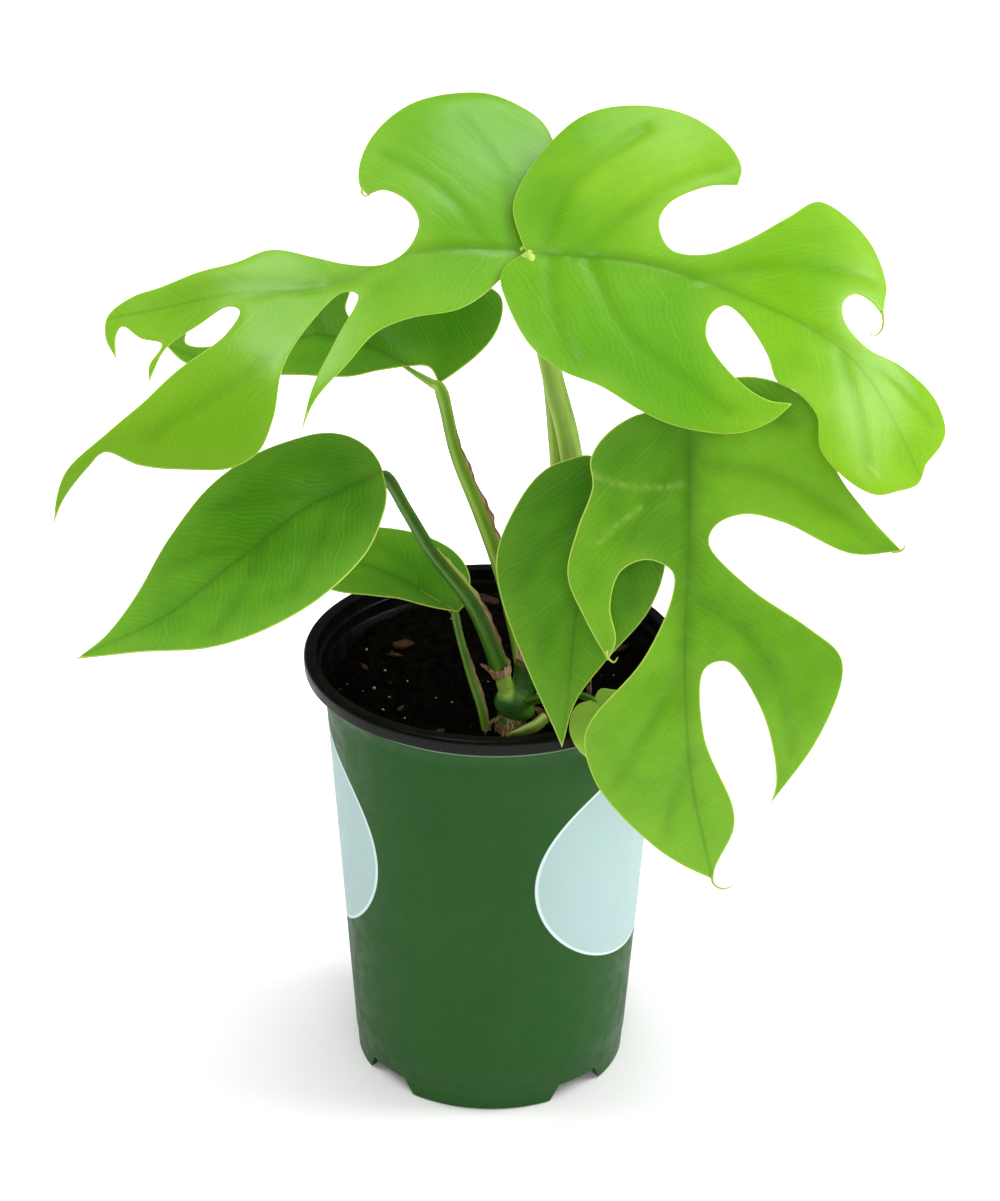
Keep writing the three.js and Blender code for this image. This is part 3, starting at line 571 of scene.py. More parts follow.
# %% The eight leaves
LEAVES = [
    {"name": "upper_right", "finish": "bright", "base": [8, 0, 256], "tip": [115, -45, 215],
     "face": [0.12, -0.62, 0.78], "fold": 0.12, "droop": [0.0015, 0.0015],
     "bends": [[36, 38, 40, 0.006], [86, 32, 30, 0.006], [76, -6, -50, 0.006]],
     "scars": [[[110.5, -7], [112, -7], [113.5, -7.2]]],
     "painted_light_patches": [[14, 40, 28, 0.7], [60, -22, 24, -0.6]], "petiole_radius": [3.4, 2.6],
     "arch": [[0, 0], [31, 5], [62, 8], [92, 6.5], [123, 0]],
     "midrib": [[0, 0], [31, 11.5], [62, 15], [92, 17], [122, 5]],
     "petiole": [[23, -5, 170], [23, -4.5, 183], [20.5, -3.5, 201], [15.5, -2.5, 221], [8.7, -0.5, 254]],
     "creases": [[[12, 5], [22, 30], [36, 50]], [[4, 2], [0, 26], [9, 50]],
         [[45, 13.5], [62, 28], [85, 44]], [[80, 17], [98, 22], [117, 22]],
         [[15, 6], [38, -12], [72, -20]], [[6, 2], [18, -16], [30, -27]],
         [[88, 16.5], [103, 1], [112, -11]]],
     "edge": [
         [[0, 0], [-3.5, 3], [-11, 12], [-12.5, 29.5], [-8, 47.5], [3.5, 57], [18, 60], [31, 57],
          [38.5, 51.5]],
         [[40.5, 45.5], [33.5, 41], [27, 31.5], [27.5, 24.5], [34.5, 18.5], [43.5, 21.5], [51, 30.5],
          [57, 43.5], [61.5, 54.5], [69, 56], [80, 53.5], [88.5, 46], [91, 39.5]],
         [[92.5, 36], [87.5, 37], [83.5, 35.5], [82, 30.5], [85, 25.5], [94, 23.5], [103.5, 27.5],
          [114.5, 29.5], [121, 25], [122.5, 19]],
         [[122, 9.5], [123, 2.5], [120, -5], [115.5, -12], [107.5, -15], [98, -13.5], [92.5, -6],
          [84.5, -3.5], [79, -4], [72.5, 2], [60.5, 9], [56, 9.5], [54, 4.5], [57, -3], [71, -10],
          [79.5, -10.5]],
         [[85.5, -7.5], [83.5, -15], [78, -23], [71, -27.5], [61, -31], [52, -31.5], [39, -30],
          [27.5, -30.5], [16.5, -27.5], [3, -17], [-2, -11], [-2.5, -6]]]},
    {"name": "upper_left", "finish": "arching", "base": [8, 4, 255], "tip": [-104, -24, 244],
     "face": [-0.08, -0.62, 0.78], "fold": 0.1, "droop": [0.002, 0.0022],
     "bends": [[110, 30, 45, 0.008], [58, 30, 60, 0.006]], "crease_share": 0.5,
     "painted_light_patches": [[14, 44, 26, 0.6]], "petiole_radius": [2.8, 2],
     "arch": [[0, 0], [29, 5], [58, 8], [87, 6], [116, 0]],
     "midrib": [[0, 0], [29, -2.5], [58, 4.5], [87, 1], [116, -1.5]],
     "petiole": [[20, -1, 168], [19, 1, 180], [17.5, 3, 196], [15, 5, 218], [8, 4.5, 254.5]],
     "creases": [[[10, -1.5], [20, -22], [35, -36]], [[4, -1], [1, -26], [8, -46]],
         [[60, 4.5], [84, -2], [104, -3]], [[52, 4], [80, 25], [112, 34]],
         [[28, -2], [50, 13], [70, 37]], [[74, 3], [92, 6], [106, 14]]],
     "edge": [
         [[0, -1], [-5.5, -8.5], [-12, -18.5], [-16.5, -31.5], [-15, -42.5], [-4, -52], [7, -53.5],
          [21, -50.5], [33, -42], [40, -31.5], [41.5, -24.5]],
         [[40, -21.5], [35, -22.5], [29.5, -18], [28, -11.5], [33, -3.5], [41, 0.5], [50.5, -1],
          [59, -4.5], [70, -9], [80, -7.5], [90.5, -7.5], [100.5, -6.5], [108.5, -6], [116, -2.5],
          [118, 3.5]],
         [[116.5, 11], [115, 4], [113, 2], [109, 7], [104, 10.5], [108.5, 15.5]],
         [[109.5, 20], [103, 12], [93, 8], [84.5, 5], [82, 7], [87.5, 13.5], [102, 19.5], [112.5, 25],
          [123, 29], [135, 33], [138.5, 37]],
         [[140.5, 42], [137, 38.5], [129, 34.5], [124.5, 33], [116.5, 39], [105.5, 44.5], [93.5, 48.5],
          [85.5, 47], [80, 40], [74.5, 27], [64.5, 15.5], [53.5, 7.5], [50, 9], [59, 22], [68.5, 35]],
         [[74, 46], [68.5, 38.5], [58.5, 30.5], [47.5, 21.5], [37.5, 18.5], [24.5, 17.5], [16, 13.5],
          [6, 5.5]]]},
    {"name": "rear_left", "finish": "deep", "base": [-16, 10, 212], "tip": [-92, 14, 221],
     "face": [0.05, -0.45, 0.89], "fold": 0.32, "petiole_radius": [2.5, 1.7],
     "arch": [[0, 0], [23, 4], [46, 6], [77, 0]],
     "midrib": [[0, 0], [20, -7], [36, -7], [50, 1.5], [63, 5.5], [77.5, 0]],
     "petiole": [[9, -12.5, 135], [2, -5, 160.5], [-4, 1, 175.5], [-11, 6, 192], [-16, 9.8, 211]],
     "creases": [[[10, -4], [20, -14], [17, -26]], [[32, -8], [39, -14], [43, -21]],
         [[40, -6], [47, -8], [50, -14]]],
     "edge": [
         [[0, 0], [-5, -5.5], [-9.5, -11], [-13.5, -18], [-15, -25.5], [-13.5, -31], [-4.5, -34],
          [8, -33.5]],
         [[19, -30.5], [22.5, -24], [24.5, -18], [27, -14.5], [29, -17], [28.5, -23]],
         [[29.5, -27.5], [38, -25.5], [46, -21]],
         [[51.5, -16], [53, -9], [57, -2], [63, 0.5], [69, 0.7], [72, -0.8], [72, -5]],
         [[70.5, -10], [75, -6]],
         [[77.5, 0], [71, 6.6], [59, 11.3], [42.5, 12.2], [25.5, 8.2], [17, 2], [9.5, -3], [3.5, -4.5]]]},
    {"name": "front_left", "finish": "deep", "base": [-31, -20, 199], "tip": [-112, -66, 164],
     "face": [-0.28, -0.46, 0.84], "fold": 0.15, "petiole_radius": [2.4, 1.6],
     "arch": [[0, 0], [25, 5], [50, 7], [75, 5], [99, 0]],
     "midrib": [[0, 0], [25, 1], [50, 6], [75, 7.5], [99, 0]],
     "petiole": [[2, -18, 136.5], [-6, -19, 157], [-18, -20, 175], [-24.5, -20, 187], [-30.5, -20, 197.5]],
     "creases": [[[16, 1], [32, -9], [48, -14]], [[16, 1], [30, 15], [44, 25]],
         [[42, 5], [58, -2], [72, -5]], [[42, 5], [56, 17], [68, 23]]],
     "edge": [
         [[0, 0], [-1, -3], [-1.5, -9.5], [1, -16.5], [6.5, -21], [17.5, -23], [29.5, -23], [43.5, -20],
          [60, -12.5], [76.5, -4], [89.5, 0]],
         [[99.5, 0], [86, 12.5], [72, 26], [58, 32.5], [41, 33.5], [22.5, 27.5], [8.5, 15], [3.5, 8]]]},
    {"name": "low_left", "finish": "deep", "base": [-10, -8, 149], "tip": [-60, 8, 156],
     "face": [0, -0.25, 0.97], "fold": 0.15, "droop": [0.001, 0.001], "petiole_radius": [1.4, 1.1],
     "arch": [[0, 0], [18, 3], [36, 3], [53, 0]],
     "midrib": [[0, 0], [19, -3.5], [37, -4.5], [53, 0]],
     "petiole": [[-1, -21, 114], [-3.3, -19, 124], [-6, -16, 131.5], [-9.7, -10, 142.5], [-11, -8, 148]],
     "creases": [[[8, -1], [20, -10], [32, -15]]],
     "edge": [
         [[0, 0], [-0.5, -5.5], [2, -14.5], [8.5, -20], [20.5, -21.5], [31.5, -20], [42.5, -16],
          [50.5, -9]],
         [[53.5, -1], [35, 10], [23.5, 7.5], [17, 5], [8, 3]]]},
    {"name": "centre", "finish": "deep", "base": [30, -28, 204], "tip": [19, -58, 133],
     "face": [-0.1, -0.95, 0.3], "fold": 0.1, "petiole_radius": [2.4, 1.5],
     "arch": [[0, 0], [23, 5], [47, 6], [78, 0]],
     "midrib": [[0, 0], [20, -0.5], [39, -1.5], [58, -0.5], [78, 0]],
     "petiole": [[17, -9, 146], [22, -14, 166], [28, -21, 190], [30, -27, 203]],
     "creases": [[[10, 0], [22, -11], [36, -19]], [[12, 0], [24, 10], [36, 14]],
         [[34, -1], [46, -8], [56, -11]]],
     "edge": [
         [[0, 0], [-3, -4.5], [-1, -10.5], [2, -15.5], [8, -20], [23, -25], [30.5, -25], [39.5, -22],
          [59.5, -11], [74, -2]],
         [[77.5, 0], [64, 2], [51.5, 8.5], [36, 18], [23.5, 20.5], [11, 18], [1.5, 11.5], [-1.5, 4]]]},
    {"name": "lower_right", "finish": "clear", "base": [52, -37, 222], "tip": [61, -64, 95],
     "face": [0.1, -0.95, 0.3], "fold": 0.08, "droop": [0.0012, 0.0012],
     "scars": [[[11, -27], [15, -18], [16, -9], [16, -3]], [[21, -15], [24, -20], [29, -27]]],
     "painted_light_patches": [[17, 27, 20, 1.5]], "petiole_radius": [2.9, 1.8],
     "arch": [[0, 0], [32, 6], [65, 8], [97, 6], [130, 0]],
     "midrib": [[0, 0], [32, -2.5], [65, -5.5], [97, -5], [130, 0.5]],
     "petiole": [[20.5, -6, 158], [29, -13, 184], [42, -24, 209], [51, -35, 221]],
     "creases": [[[7, 0], [30, -19], [56, -27]], [[10, -1], [16, 24], [36, 50]],
         [[44, -4], [64, 16], [92, 23]], [[66, -5], [84, -18], [98, -27]],
         [[92, -5], [106, -11], [117, -13]], [[4, 0], [-4, 12], [2, 28]]],
     "edge": [
         [[0, 0], [-3.5, -5], [-3.5, -14], [1, -23], [7, -27.5], [14, -27.5], [25, -32.5], [37, -36],
          [49.5, -32]],
         [[61.5, -26.5], [56, -24], [46.5, -25], [37.5, -21.5], [35, -14], [39, -7.5], [45.5, -8],
          [62.5, -17], [77.5, -31.5], [83.5, -34], [97.5, -31], [116.5, -17], [124.5, -8]],
         [[130, 0.5], [126, 1.5], [115, 6.5], [108, 6.5], [85.5, -1], [66.5, 0], [65, 6], [80, 15],
          [100.5, 18.5]],
         [[107.5, 17], [90.5, 29.5], [72.5, 37.5], [65.5, 37], [57, 28.5], [44.5, 13], [32, 3],
          [27.5, 5], [25, 13], [28, 23.5], [38, 41.5]],
         [[38.5, 55.5], [28, 47], [15.5, 39], [-0.5, 35], [-9, 25], [-11.5, 14.5], [-9.5, 8], [-5.5, 3.5]]]},
    {"name": "rim_right", "finish": "pale", "base": [28, -38, 137.5], "tip": [49, -57, 128],
     "face": [0.05, -0.3, 0.95], "fold": 0.1, "petiole_radius": [1.4, 1],
     "arch": [[0, 0], [15, 3], [30, 0]],
     "midrib": [[0, 0], [15, 0], [30, 0]],
     "petiole": [[8, -18, 125], [15, -25, 131], [22, -32, 136], [27.5, -37.5, 137.3]],
     "creases": [[[6, 0], [14, -8], [18, -14]]],
     "edge": [
         [[0, 0], [-1.5, 4.5], [1.5, 6.5], [8, 11], [17, 12], [25, 7]],
         [[30.5, 0], [26.5, -9], [21.5, -16], [14, -19], [4.5, -14.5], [-1.5, -5]]]},
]
print("leaves:", [leaf["name"] for leaf in LEAVES])

# %% [markdown]
# The height of a blade over its chord plane is a formula, so the mesh can be as fine as the
# light needs. The margin is divided every millimetre or so, the inside is filled with an even
# honeycomb of points, and a Delaunay net joins them. The upper skin gets the sunken midrib, the
# lower skin the raised one, and a slow ripple near the margin takes away the pressed look.

# %% Height of a blade
FOLD_SOFTNESS = 5
USUAL_DROOP = (0.002, 0.002)


def blade_directions(leaf):
    base = np.array(leaf["base"], float)
    along = unit(np.array(leaf["tip"], float) - base)
    off = square_to(leaf["face"], along)
    return base, along, np.cross(off, along), off


def blade_height(leaf, u, v):
    sideways = v - value_at(leaf["midrib"], u)
    folded = leaf["fold"] * (np.hypot(sideways, FOLD_SOFTNESS) - FOLD_SOFTNESS)
    droop = np.where(sideways > 0, *leaf.get("droop", USUAL_DROOP))
    height = value_at(leaf["arch"], u) + folded - droop * sideways ** 2
    for at_u, at_v, degrees, rate in leaf.get("bends", []):
        turned = math.radians(degrees)
        beyond = (u - at_u) * math.cos(turned) + (v - at_v) * math.sin(turned)
        height = height - rate * np.maximum(beyond, 0) ** 2
    return height


def on_blade(leaf, u, v, off_face=0):
    base, along, across, off = blade_directions(leaf)
    height = float(blade_height(leaf, np.array([u], float), np.array([v], float))[0])
    return base + along * u + across * v + off * (height + off_face)


first = LEAVES[0]
print("a point on the first leaf's midrib:", [round(float(part), 1) for part in on_blade(first, 50, 14)])

# %% Net of a blade
BLADE_SPACING = 1.35
MARGIN_SPACING = 1.1
INNER_RING = 0.5


def inside_and_distance(points, margin):
    """Which points lie inside the margin, and how far each is from it."""
    x, y = points[:, 0], points[:, 1]
    edge = np.roll(margin, -1, axis=0) - margin
    squares = np.maximum((edge ** 2).sum(1), 1e-9)
    inside = np.zeros(len(points), bool)
    distance = np.full(len(points), 1e9)
    for (x0, y0), y1, (ex, ey), squared in zip(margin, np.roll(margin[:, 1], -1), edge, squares):
        if y0 != y1:
            crosses = (y < y0) != (y < y1)
            inside ^= crosses & (x < x0 + (y - y0) * ex / (y1 - y0))
        t = np.clip(((x - x0) * ex + (y - y0) * ey) / squared, 0, 1)
        distance = np.minimum(distance, np.hypot(x - x0 - t * ex, y - y0 - t * ey))
    return inside, distance


def honeycomb(margin, spacing):
    low, high = margin.min(0), margin.max(0)
    rows = []
    for i, y in enumerate(np.arange(low[1], high[1], spacing * math.sqrt(3) / 2)):
        xs = np.arange(low[0] + (i % 2) * spacing / 2, high[0], spacing)
        rows.append(np.stack((xs, np.full(len(xs), y)), 1))
    return np.concatenate(rows)


def inner_ring(margin):
    """A row of points just inside the margin, which keeps the first net cells even."""
    after, before = np.roll(margin, -1, axis=0), np.roll(margin, 1, axis=0)
    chord = after - before
    inward = np.stack((-chord[:, 1], chord[:, 0]), 1)
    inward = inward / np.maximum(np.linalg.norm(chord, axis=1), 1e-6)[:, None]
    area = (margin[:, 0] * after[:, 1] - after[:, 0] * margin[:, 1]).sum() / 2
    ring = margin + inward * INNER_RING * (1 if area > 0 else -1)
    inside, distance = inside_and_distance(ring, margin)
    return ring[inside & (distance > 0.85 * INNER_RING)]


def blade_net(leaf):
    runs, following = leaf["edge"], leaf["edge"][1:] + leaf["edge"][:1]
    closed = [[*run, after[0]] for run, after in zip(runs, following)]
    margin = np.concatenate([even_path(run, MARGIN_SPACING)[:-1] for run in closed])
    inner = honeycomb(margin, BLADE_SPACING)
    inside, distance = inside_and_distance(inner, margin)
    inner = inner[inside & (distance > INNER_RING + 0.45 * BLADE_SPACING)]
    flat = [Vector(point) for point in np.concatenate((margin, inner_ring(margin), inner))]
    borders = [(i, (i + 1) % len(margin)) for i in range(len(margin))]
    flat, _, faces, *_ = geometry.delaunay_2d_cdt(flat, borders, [], 1, 1e-5)
    flat = np.array([tuple(point) for point in flat])
    triangles = []
    for a, b, c in faces:
        (ux, uy), (vx, vy) = flat[b] - flat[a], flat[c] - flat[a]
        triangles.append((a, b, c) if ux * vy - uy * vx > 0 else (a, c, b))
    return flat, triangles, inside_and_distance(flat, margin)[1]


print("honeycomb points in a 20 mm square:", len(honeycomb(np.array([(0, 0), (20, 20)]), BLADE_SPACING)))

# %% Blades
SHADED_LEAVES = ("rear_left", "front_left", "low_left")
GROOVE_DEPTH = 0.45
GROOVE_WIDTH = 1.1
RIB_DEPTH = 1.15
RIB_WIDTH = 1.3
HALF_THICKNESS = 0.2
MARGIN_HALF = 0.11
RIPPLE = 0.55
CREASE_WIDTH = 2.2
CREASE_DEPTH = 0.5
SCAR_WIDTH = 0.8
VEIN_WIDTH = 2.4


def near_routes(flat, routes, width):
    """1 on some routes across the flat blade, fading away beside them."""
    nearness = [np.zeros(len(flat))]
    for route in routes:
        route = np.array(even_path([(u, v, 0) for u, v in route], 2))[:, :2]
        gaps = flat[:, None, :] - route[None, :, :]
        nearness.append(hump(np.sqrt((gaps ** 2).sum(2)).min(1), width))
    return np.max(nearness, axis=0)


def make_blade(leaf):
    name = leaf["name"]
    flat, triangles, distance = blade_net(leaf)
    u, v = flat[:, 0], flat[:, 1]
    count = len(flat)
    sideways = v - value_at(leaf["midrib"], u)
    length = math.dist(leaf["base"], leaf["tip"])
    fade = np.clip(1.05 - u / length, 0.12, 1)
    seed = sum(ord(letter) for letter in name)
    ripple = np.array([waver(a * 0.045, b * 0.045, seed) for a, b in flat])
    near_margin = np.clip(1 - distance / 16, 0, 1) * np.clip(distance / 3 + 0.4, 0, 1)
    height = blade_height(leaf, u, v) + RIPPLE * 2 * ripple * (0.35 + 0.65 * near_margin)
    crease = near_routes(flat, leaf["creases"], CREASE_WIDTH) * np.clip(distance / 5, 0, 1)
    height = height - CREASE_DEPTH * leaf.get("crease_share", 1) * crease
    from_edge = np.clip(distance / 1.5, 0, 1)
    groove = GROOVE_DEPTH * fade * hump(sideways, GROOVE_WIDTH) * from_edge
    rib = RIB_DEPTH * fade * hump(sideways, RIB_WIDTH) * from_edge
    half = MARGIN_HALF + (HALF_THICKNESS - MARGIN_HALF) * np.clip(distance / 1.2, 0, 1)
    base, along, across, off = blade_directions(leaf)
    on_chord = base + u[:, None] * along + v[:, None] * across
    top = on_chord + (height + half - groove)[:, None] * off
    bottom = on_chord + (height - half - rib)[:, None] * off
    faces = list(triangles)
    faces.extend((c + count, b + count, a + count) for a, b, c in triangles)
    directed = {(a, b) for tri in triangles for a, b in (tri[:2], tri[1:], (tri[2], tri[0]))}
    faces.extend((b, a, a + count, b + count) for a, b in sorted(directed) if (b, a) not in directed)
    piece = new_piece(f"blade_{name}", (np.concatenate((top, bottom)), faces),
                      leaf_finishes[leaf["finish"]], nodes=[f"leaf_{name}"],
                      slot="leaf_deep" if name in SHADED_LEAVES else "leaf_bright")
    youth_and_painted_light = np.clip(u / length, 0, 1)
    # Painted light and shade: soft lighter or darker patches where the blade is lit or shaded, on top of the
    # gradient from base to tip.
    for at_u, at_v, spread, change in leaf.get("painted_light_patches", []):
        youth_and_painted_light = youth_and_painted_light + change * hump(np.hypot(u - at_u, v - at_v), spread)
    add_number(piece, "under", np.repeat([0, 1], count))
    add_number(piece, "edge_mm", np.tile(distance, 2))
    # Near the midrib, and along the creases as painted shade.
    add_number(piece, "vein_and_crease_shade", np.tile(np.maximum(hump(sideways, VEIN_WIDTH) * fade, 0.55 * crease), 2))
    add_number(piece, "scar", np.tile(near_routes(flat, leaf.get("scars", []), SCAR_WIDTH), 2))
    add_number(piece, "tip_and_painted_light", np.tile(youth_and_painted_light, 2))
    leaf_map = piece.data.uv_layers.new(name="blade")
    corners = np.zeros(len(piece.data.loops), int)
    piece.data.loops.foreach_get("vertex_index", corners)
    mapped = np.stack((u, sideways), 1)[corners % count] / MAP_MM
    leaf_map.data.foreach_set("uv", mapped.astype(np.float32).ravel())
    return piece


blades = {leaf["name"]: make_blade(leaf) for leaf in LEAVES}
print("blade faces:", {name: len(piece.data.polygons) for name, piece in blades.items()})

# %% [markdown]
# A leaf stalk of this plant is not a plain rod. It is a thick green channel, grooved on the
# side that once held the next leaf, with two ridges. The ridges are painted paler, partly their
# own colour and partly painted highlight, and the groove is painted darker as shade. It clasps
# the stem at its foot, swells a little just under the blade, where it can bend, and runs on
# under the blade as the midrib. A section swept along a curve gives all of that in one closed skin.

# %% Stalk finish


def stalk_material(name, green, dark, light, streak_scale=260):
    stalk = Finish(name)
    upward = stalk.drawn_out(0.12)
    streaks = stalk.effect(mottle, upward, Scale=streak_scale, Contrast=0.25)
    colour = stalk.layers(
        green,
        (stalk.effect(mottle, Scale=70, Contrast=0.25), dark),
        (streaks * 0.35, light),
        # Paler ridges, partly own colour and partly painted highlight; the groove darker as painted shade.
        (stalk.number("ridge") * 0.65, light),
        (stalk.number("groove") * 0.55, dark),
        (stalk.effect(fleck, Scale=700, Amount=0.05) * 0.55, "2b3a12"),
    )
    relief = stalk.effect(grain, upward, Scale=900) + streaks
    return stalk.cover(colour, 0.42, relief, 0.3, 0.0003, {"Subsurface Weight": 0.1, **TISSUE})


# Painted light and shade: each stalk gets its own copy of the green, lighter where it stands in light and
# darker where it stands in shade; the stalk in front is darkest.
STALK_LIT_AND_SHADED = {
    "upper_right": ("stalk in light", "a3c63c", "729c22", "c4da6c"),
    "upper_left": ("stalk behind", "94b834", "668f1e", "b2cc5c"),
    "rear_left": ("stalk at the back", "7fa62e", "55801a", "a4c252"),
    "low_left": ("thin stalk", "55801e", "345a10", "7c9c3c"),
    "front_left": ("stalk in front in painted shade", "33600f", "1c3c05", "5c8a22"),
}
stalk_finishes = {name: stalk_material(*colours) for name, colours in STALK_LIT_AND_SHADED.items()}
stalk_finishes["rim_right"] = stalk_finishes["front_left"]
usual_stalk = stalk_material("leaf stalk", "5a8e22", "386812", "88ae44")
print("stalk finishes:", len(stalk_finishes))

# %% Leaf stalks
STALK_STEP = 1.1
CLASP = 0.22
JOINT_SWELL = 0.1
GROOVE_SHARE = 0.26
RIDGE_SHARE = 0.09
RUN_UNDER_BLADE = ((1.5, 0.95), (6, 0.95), (15, 0.65))
STALK_FACING = {"upper_right": (-0.35, -1, 0.1), "front_left": (0.5, -1, 0.5), "rear_left": (0.5, -1, 0.4)}


def turned_from_front(angles):
    return np.abs((angles + math.pi) % (2 * math.pi) - math.pi)


def ridges(front):
    return hump(front - 0.8, 0.25)


def stalk_path(leaf):
    """The stalk's path, and the share of it that lies free below the blade."""
    under = []
    for distance, share in RUN_UNDER_BLADE:
        sideways = float(value_at(leaf["midrib"], np.array([float(distance)]))[0])
        under.append(tuple(on_blade(leaf, distance, sideways, -share * leaf["petiole_radius"][1])))
    whole = list(leaf["petiole"]) + under
    steps = [math.dist(a, b) for a, b in zip(whole, whole[1:])]
    return even_path(whole, STALK_STEP), sum(steps[:-len(under)]) / sum(steps)


def make_stalk(leaf):
    name = leaf["name"]
    path, joint = stalk_path(leaf)
    foot_radius, top_radius = leaf["petiole_radius"]

    def section(t, angles):
        radius = foot_radius + (top_radius - foot_radius) * min(t / joint, 1)
        radius = radius * (1 + CLASP * math.exp(-(t / 0.05) ** 2))
        radius = radius * (1 + JOINT_SWELL * math.exp(-((t - joint + 0.04) / 0.03) ** 2))
        if t > joint:
            radius = radius * (1 - 0.82 * ((t - joint) / (1 - joint)) ** 0.7)
        front = turned_from_front(angles)
        groove = GROOVE_SHARE * hump(front, 0.45) * (1 - 0.8 * (t > joint))
        return radius * (1 - groove + RIDGE_SHARE * ridges(front))

    tube = swept_tube(path, section, STALK_FACING.get(name, (0.2, -1, 0.2)))
    piece = new_piece(f"stalk_{name}", tube, stalk_finishes.get(name, usual_stalk),
                      nodes=[f"petiole_{name}"], slot="stem_green")
    front = turned_from_front(full_turn(TUBE_SIDES))
    add_number(piece, "ridge", np.tile(ridges(front), len(path)))
    add_number(piece, "groove", np.tile(hump(front, 0.4), len(path)))
    return piece


stalks = {leaf["name"]: make_stalk(leaf) for leaf in LEAVES}
print("stalk faces:", sum(len(piece.data.polygons) for piece in stalks.values()))

# %% [markdown]
# The lobes of an opened leaf end in thin dry tails, left from the bud where the blade was
# rolled tight. They curl as they dry, so each is a short tapered tube bent along a hook.

# %% Curled tails
TAILS = [
    [(105.6, -6.1, 242), (106, -6.1, 239), (105.7, -6.1, 236.8), (104.2, -6.1, 235), (102.2, -6.1, 235.3)],
    [(-37.1, 6.7, 271.2), (-36.9, 6.7, 269.9), (-36, 6.7, 269.3), (-34.6, 6.7, 269.9)],
    [(30.4, -61.4, 165.6), (31.2, -61.4, 163.1), (32.6, -61.6, 162.2), (33.6, -61.4, 163.6)],
    [(107.6, -45.1, 188), (110.2, -45.1, 188.4), (111.2, -45.1, 189.9), (110.3, -45.1, 191.4)],
    [(61.3, -63.9, 97.4), (61.7, -64.1, 94), (64.2, -64.3, 92.3), (67.2, -63.9, 93)],
]
TAIL_WIDTH = (0.75, 0.22)


def tail_section(t, angles):
    return (TAIL_WIDTH[0] + (TAIL_WIDTH[1] - TAIL_WIDTH[0]) * t) * (1 - 0.4 * np.abs(np.sin(angles)))


tails = join_shapes(swept_tube(even_path(route, 0.5), tail_section, (0, -1, 0.2)) for route in TAILS)
tail_finish = stalk_material("dry tail", "a3bf45", "7f9c2c", "c8cf6c")
new_piece("curled_tails", tails, tail_finish, slot="leaf_bright")
print("curled tails:", len(TAILS))

# %% [markdown]
# The stem is short and knuckled: every swelling is a node that once carried a leaf. Its parts
# are first made as separate rods and balls. A voxel remesh then melts them into one skin, as
# flesh grows, and a little smoothing rounds the hollows between them. A number on each point
# says how old the skin is there, so that the finish can turn from green to cork.

# %% Stem shape
STEM = [(5, -20, 100), (5, -20, 113), (5, -19.5, 119), (6.5, -18, 124.5), (9, -14.5, 130),
        (10, -12.5, 137), (15, -8, 150), (21, -5.5, 162), (23, -5, 171)]
STEM_NODE_PLACES = (0.53, 0.7, 0.86)
STUB = [(6, -18, 123), (3.6, -18, 130), (2.4, -18, 135.6)]
OLD_NODE = {"at": (6.1, -18.5, 124.7), "radii": (6.2, 5.2, 4.4), "tilt": 25}
FOOT_NODE = {"at": (4.9, -20, 119), "radii": (4.6, 4.6, 4.4), "tilt": 0}
ROOT_START = (5, -20, 106)
BURIED_ROOTS = [
    [(-8, -26, 92), (-20, -30, 62), (-22, -28, 36)],
    [(2, -8, 90), (-6, 8, 60), (-8, 14, 30)],
    [(16, -16, 92), (24, -6, 62), (28, 2, 34)],
    [(8, -30, 90), (14, -34, 58), (12, -32, 32)],
]
VOXEL_MM = 0.4
SMOOTHINGS = 4


def round_rod(points, start_radius, end_radius, bumps=()):
    def section(t, angles):
        swell = sum(0.75 * math.exp(-((t - at) / 0.016) ** 2) for at in bumps)
        return np.full(len(angles), start_radius + (end_radius - start_radius) * t + swell)

    return swept_tube(even_path(points, 1.5), section, (0.3, -1, 0.1))


def ball(at, radii, tilt):
    rows, columns = 14, 24
    cosine, sine = math.cos(math.radians(tilt)), math.sin(math.radians(tilt))
    points = []
    for i in range(1, rows):
        for k in range(columns):
            polar, around = math.pi * i / rows, 2 * math.pi * k / columns
            x = radii[0] * math.sin(polar) * math.cos(around)
            y = radii[1] * math.sin(polar) * math.sin(around)
            z = radii[2] * math.cos(polar)
            points.append(np.array(at) + (x * cosine + z * sine, y, z * cosine - x * sine))
    faces = [(a, d, c, b) for a, b, c, d in quads(rows - 1, columns)]
    faces.append(tuple(range(columns)))
    faces.append(tuple((rows - 2) * columns + k for k in range(columns - 1, -1, -1)))
    return points, faces


def apply_modifiers(piece):
    settled = piece.evaluated_get(bpy.context.evaluated_depsgraph_get())
    mesh = bpy.data.meshes.new_from_object(settled)
    piece.modifiers.clear()
    piece.data = mesh


def points_of(piece):
    points = np.zeros(len(piece.data.vertices) * 3)
    piece.data.vertices.foreach_get("co", points)
    return (points.reshape(-1, 3) - np.array(AXIS)) / MM


stem_parts = [round_rod(STEM, 4.2, 2.9, STEM_NODE_PLACES), round_rod(STUB, 2.5, 2.3),
              ball(**OLD_NODE), ball(**FOOT_NODE)]
stem_parts.extend(round_rod([ROOT_START, *root], 1.9, 0.8) for root in BURIED_ROOTS)
print("stem parts:", len(stem_parts))

# %% Stem finish
flesh = Finish("knuckled stem")
fine_patches = flesh.effect(mottle, Scale=700, Contrast=0.25)
green = flesh.layers("3c6e1c", (flesh.effect(mottle, Scale=160, Contrast=0.2), "1e440e"),
                     (flesh.number("young"), "8fb044"))
cork = flesh.layers("8a7148", (fine_patches, "4a3a22"))
corky = (flesh.number("age") + fine_patches * 0.35).step(0.45, 0.8)
relief = flesh.effect(grain, Scale=1300) + fine_patches
stem_finish = flesh.cover(flesh.layers(green, (corky, cork)), 0.45, relief, 0.5, 0.0004)

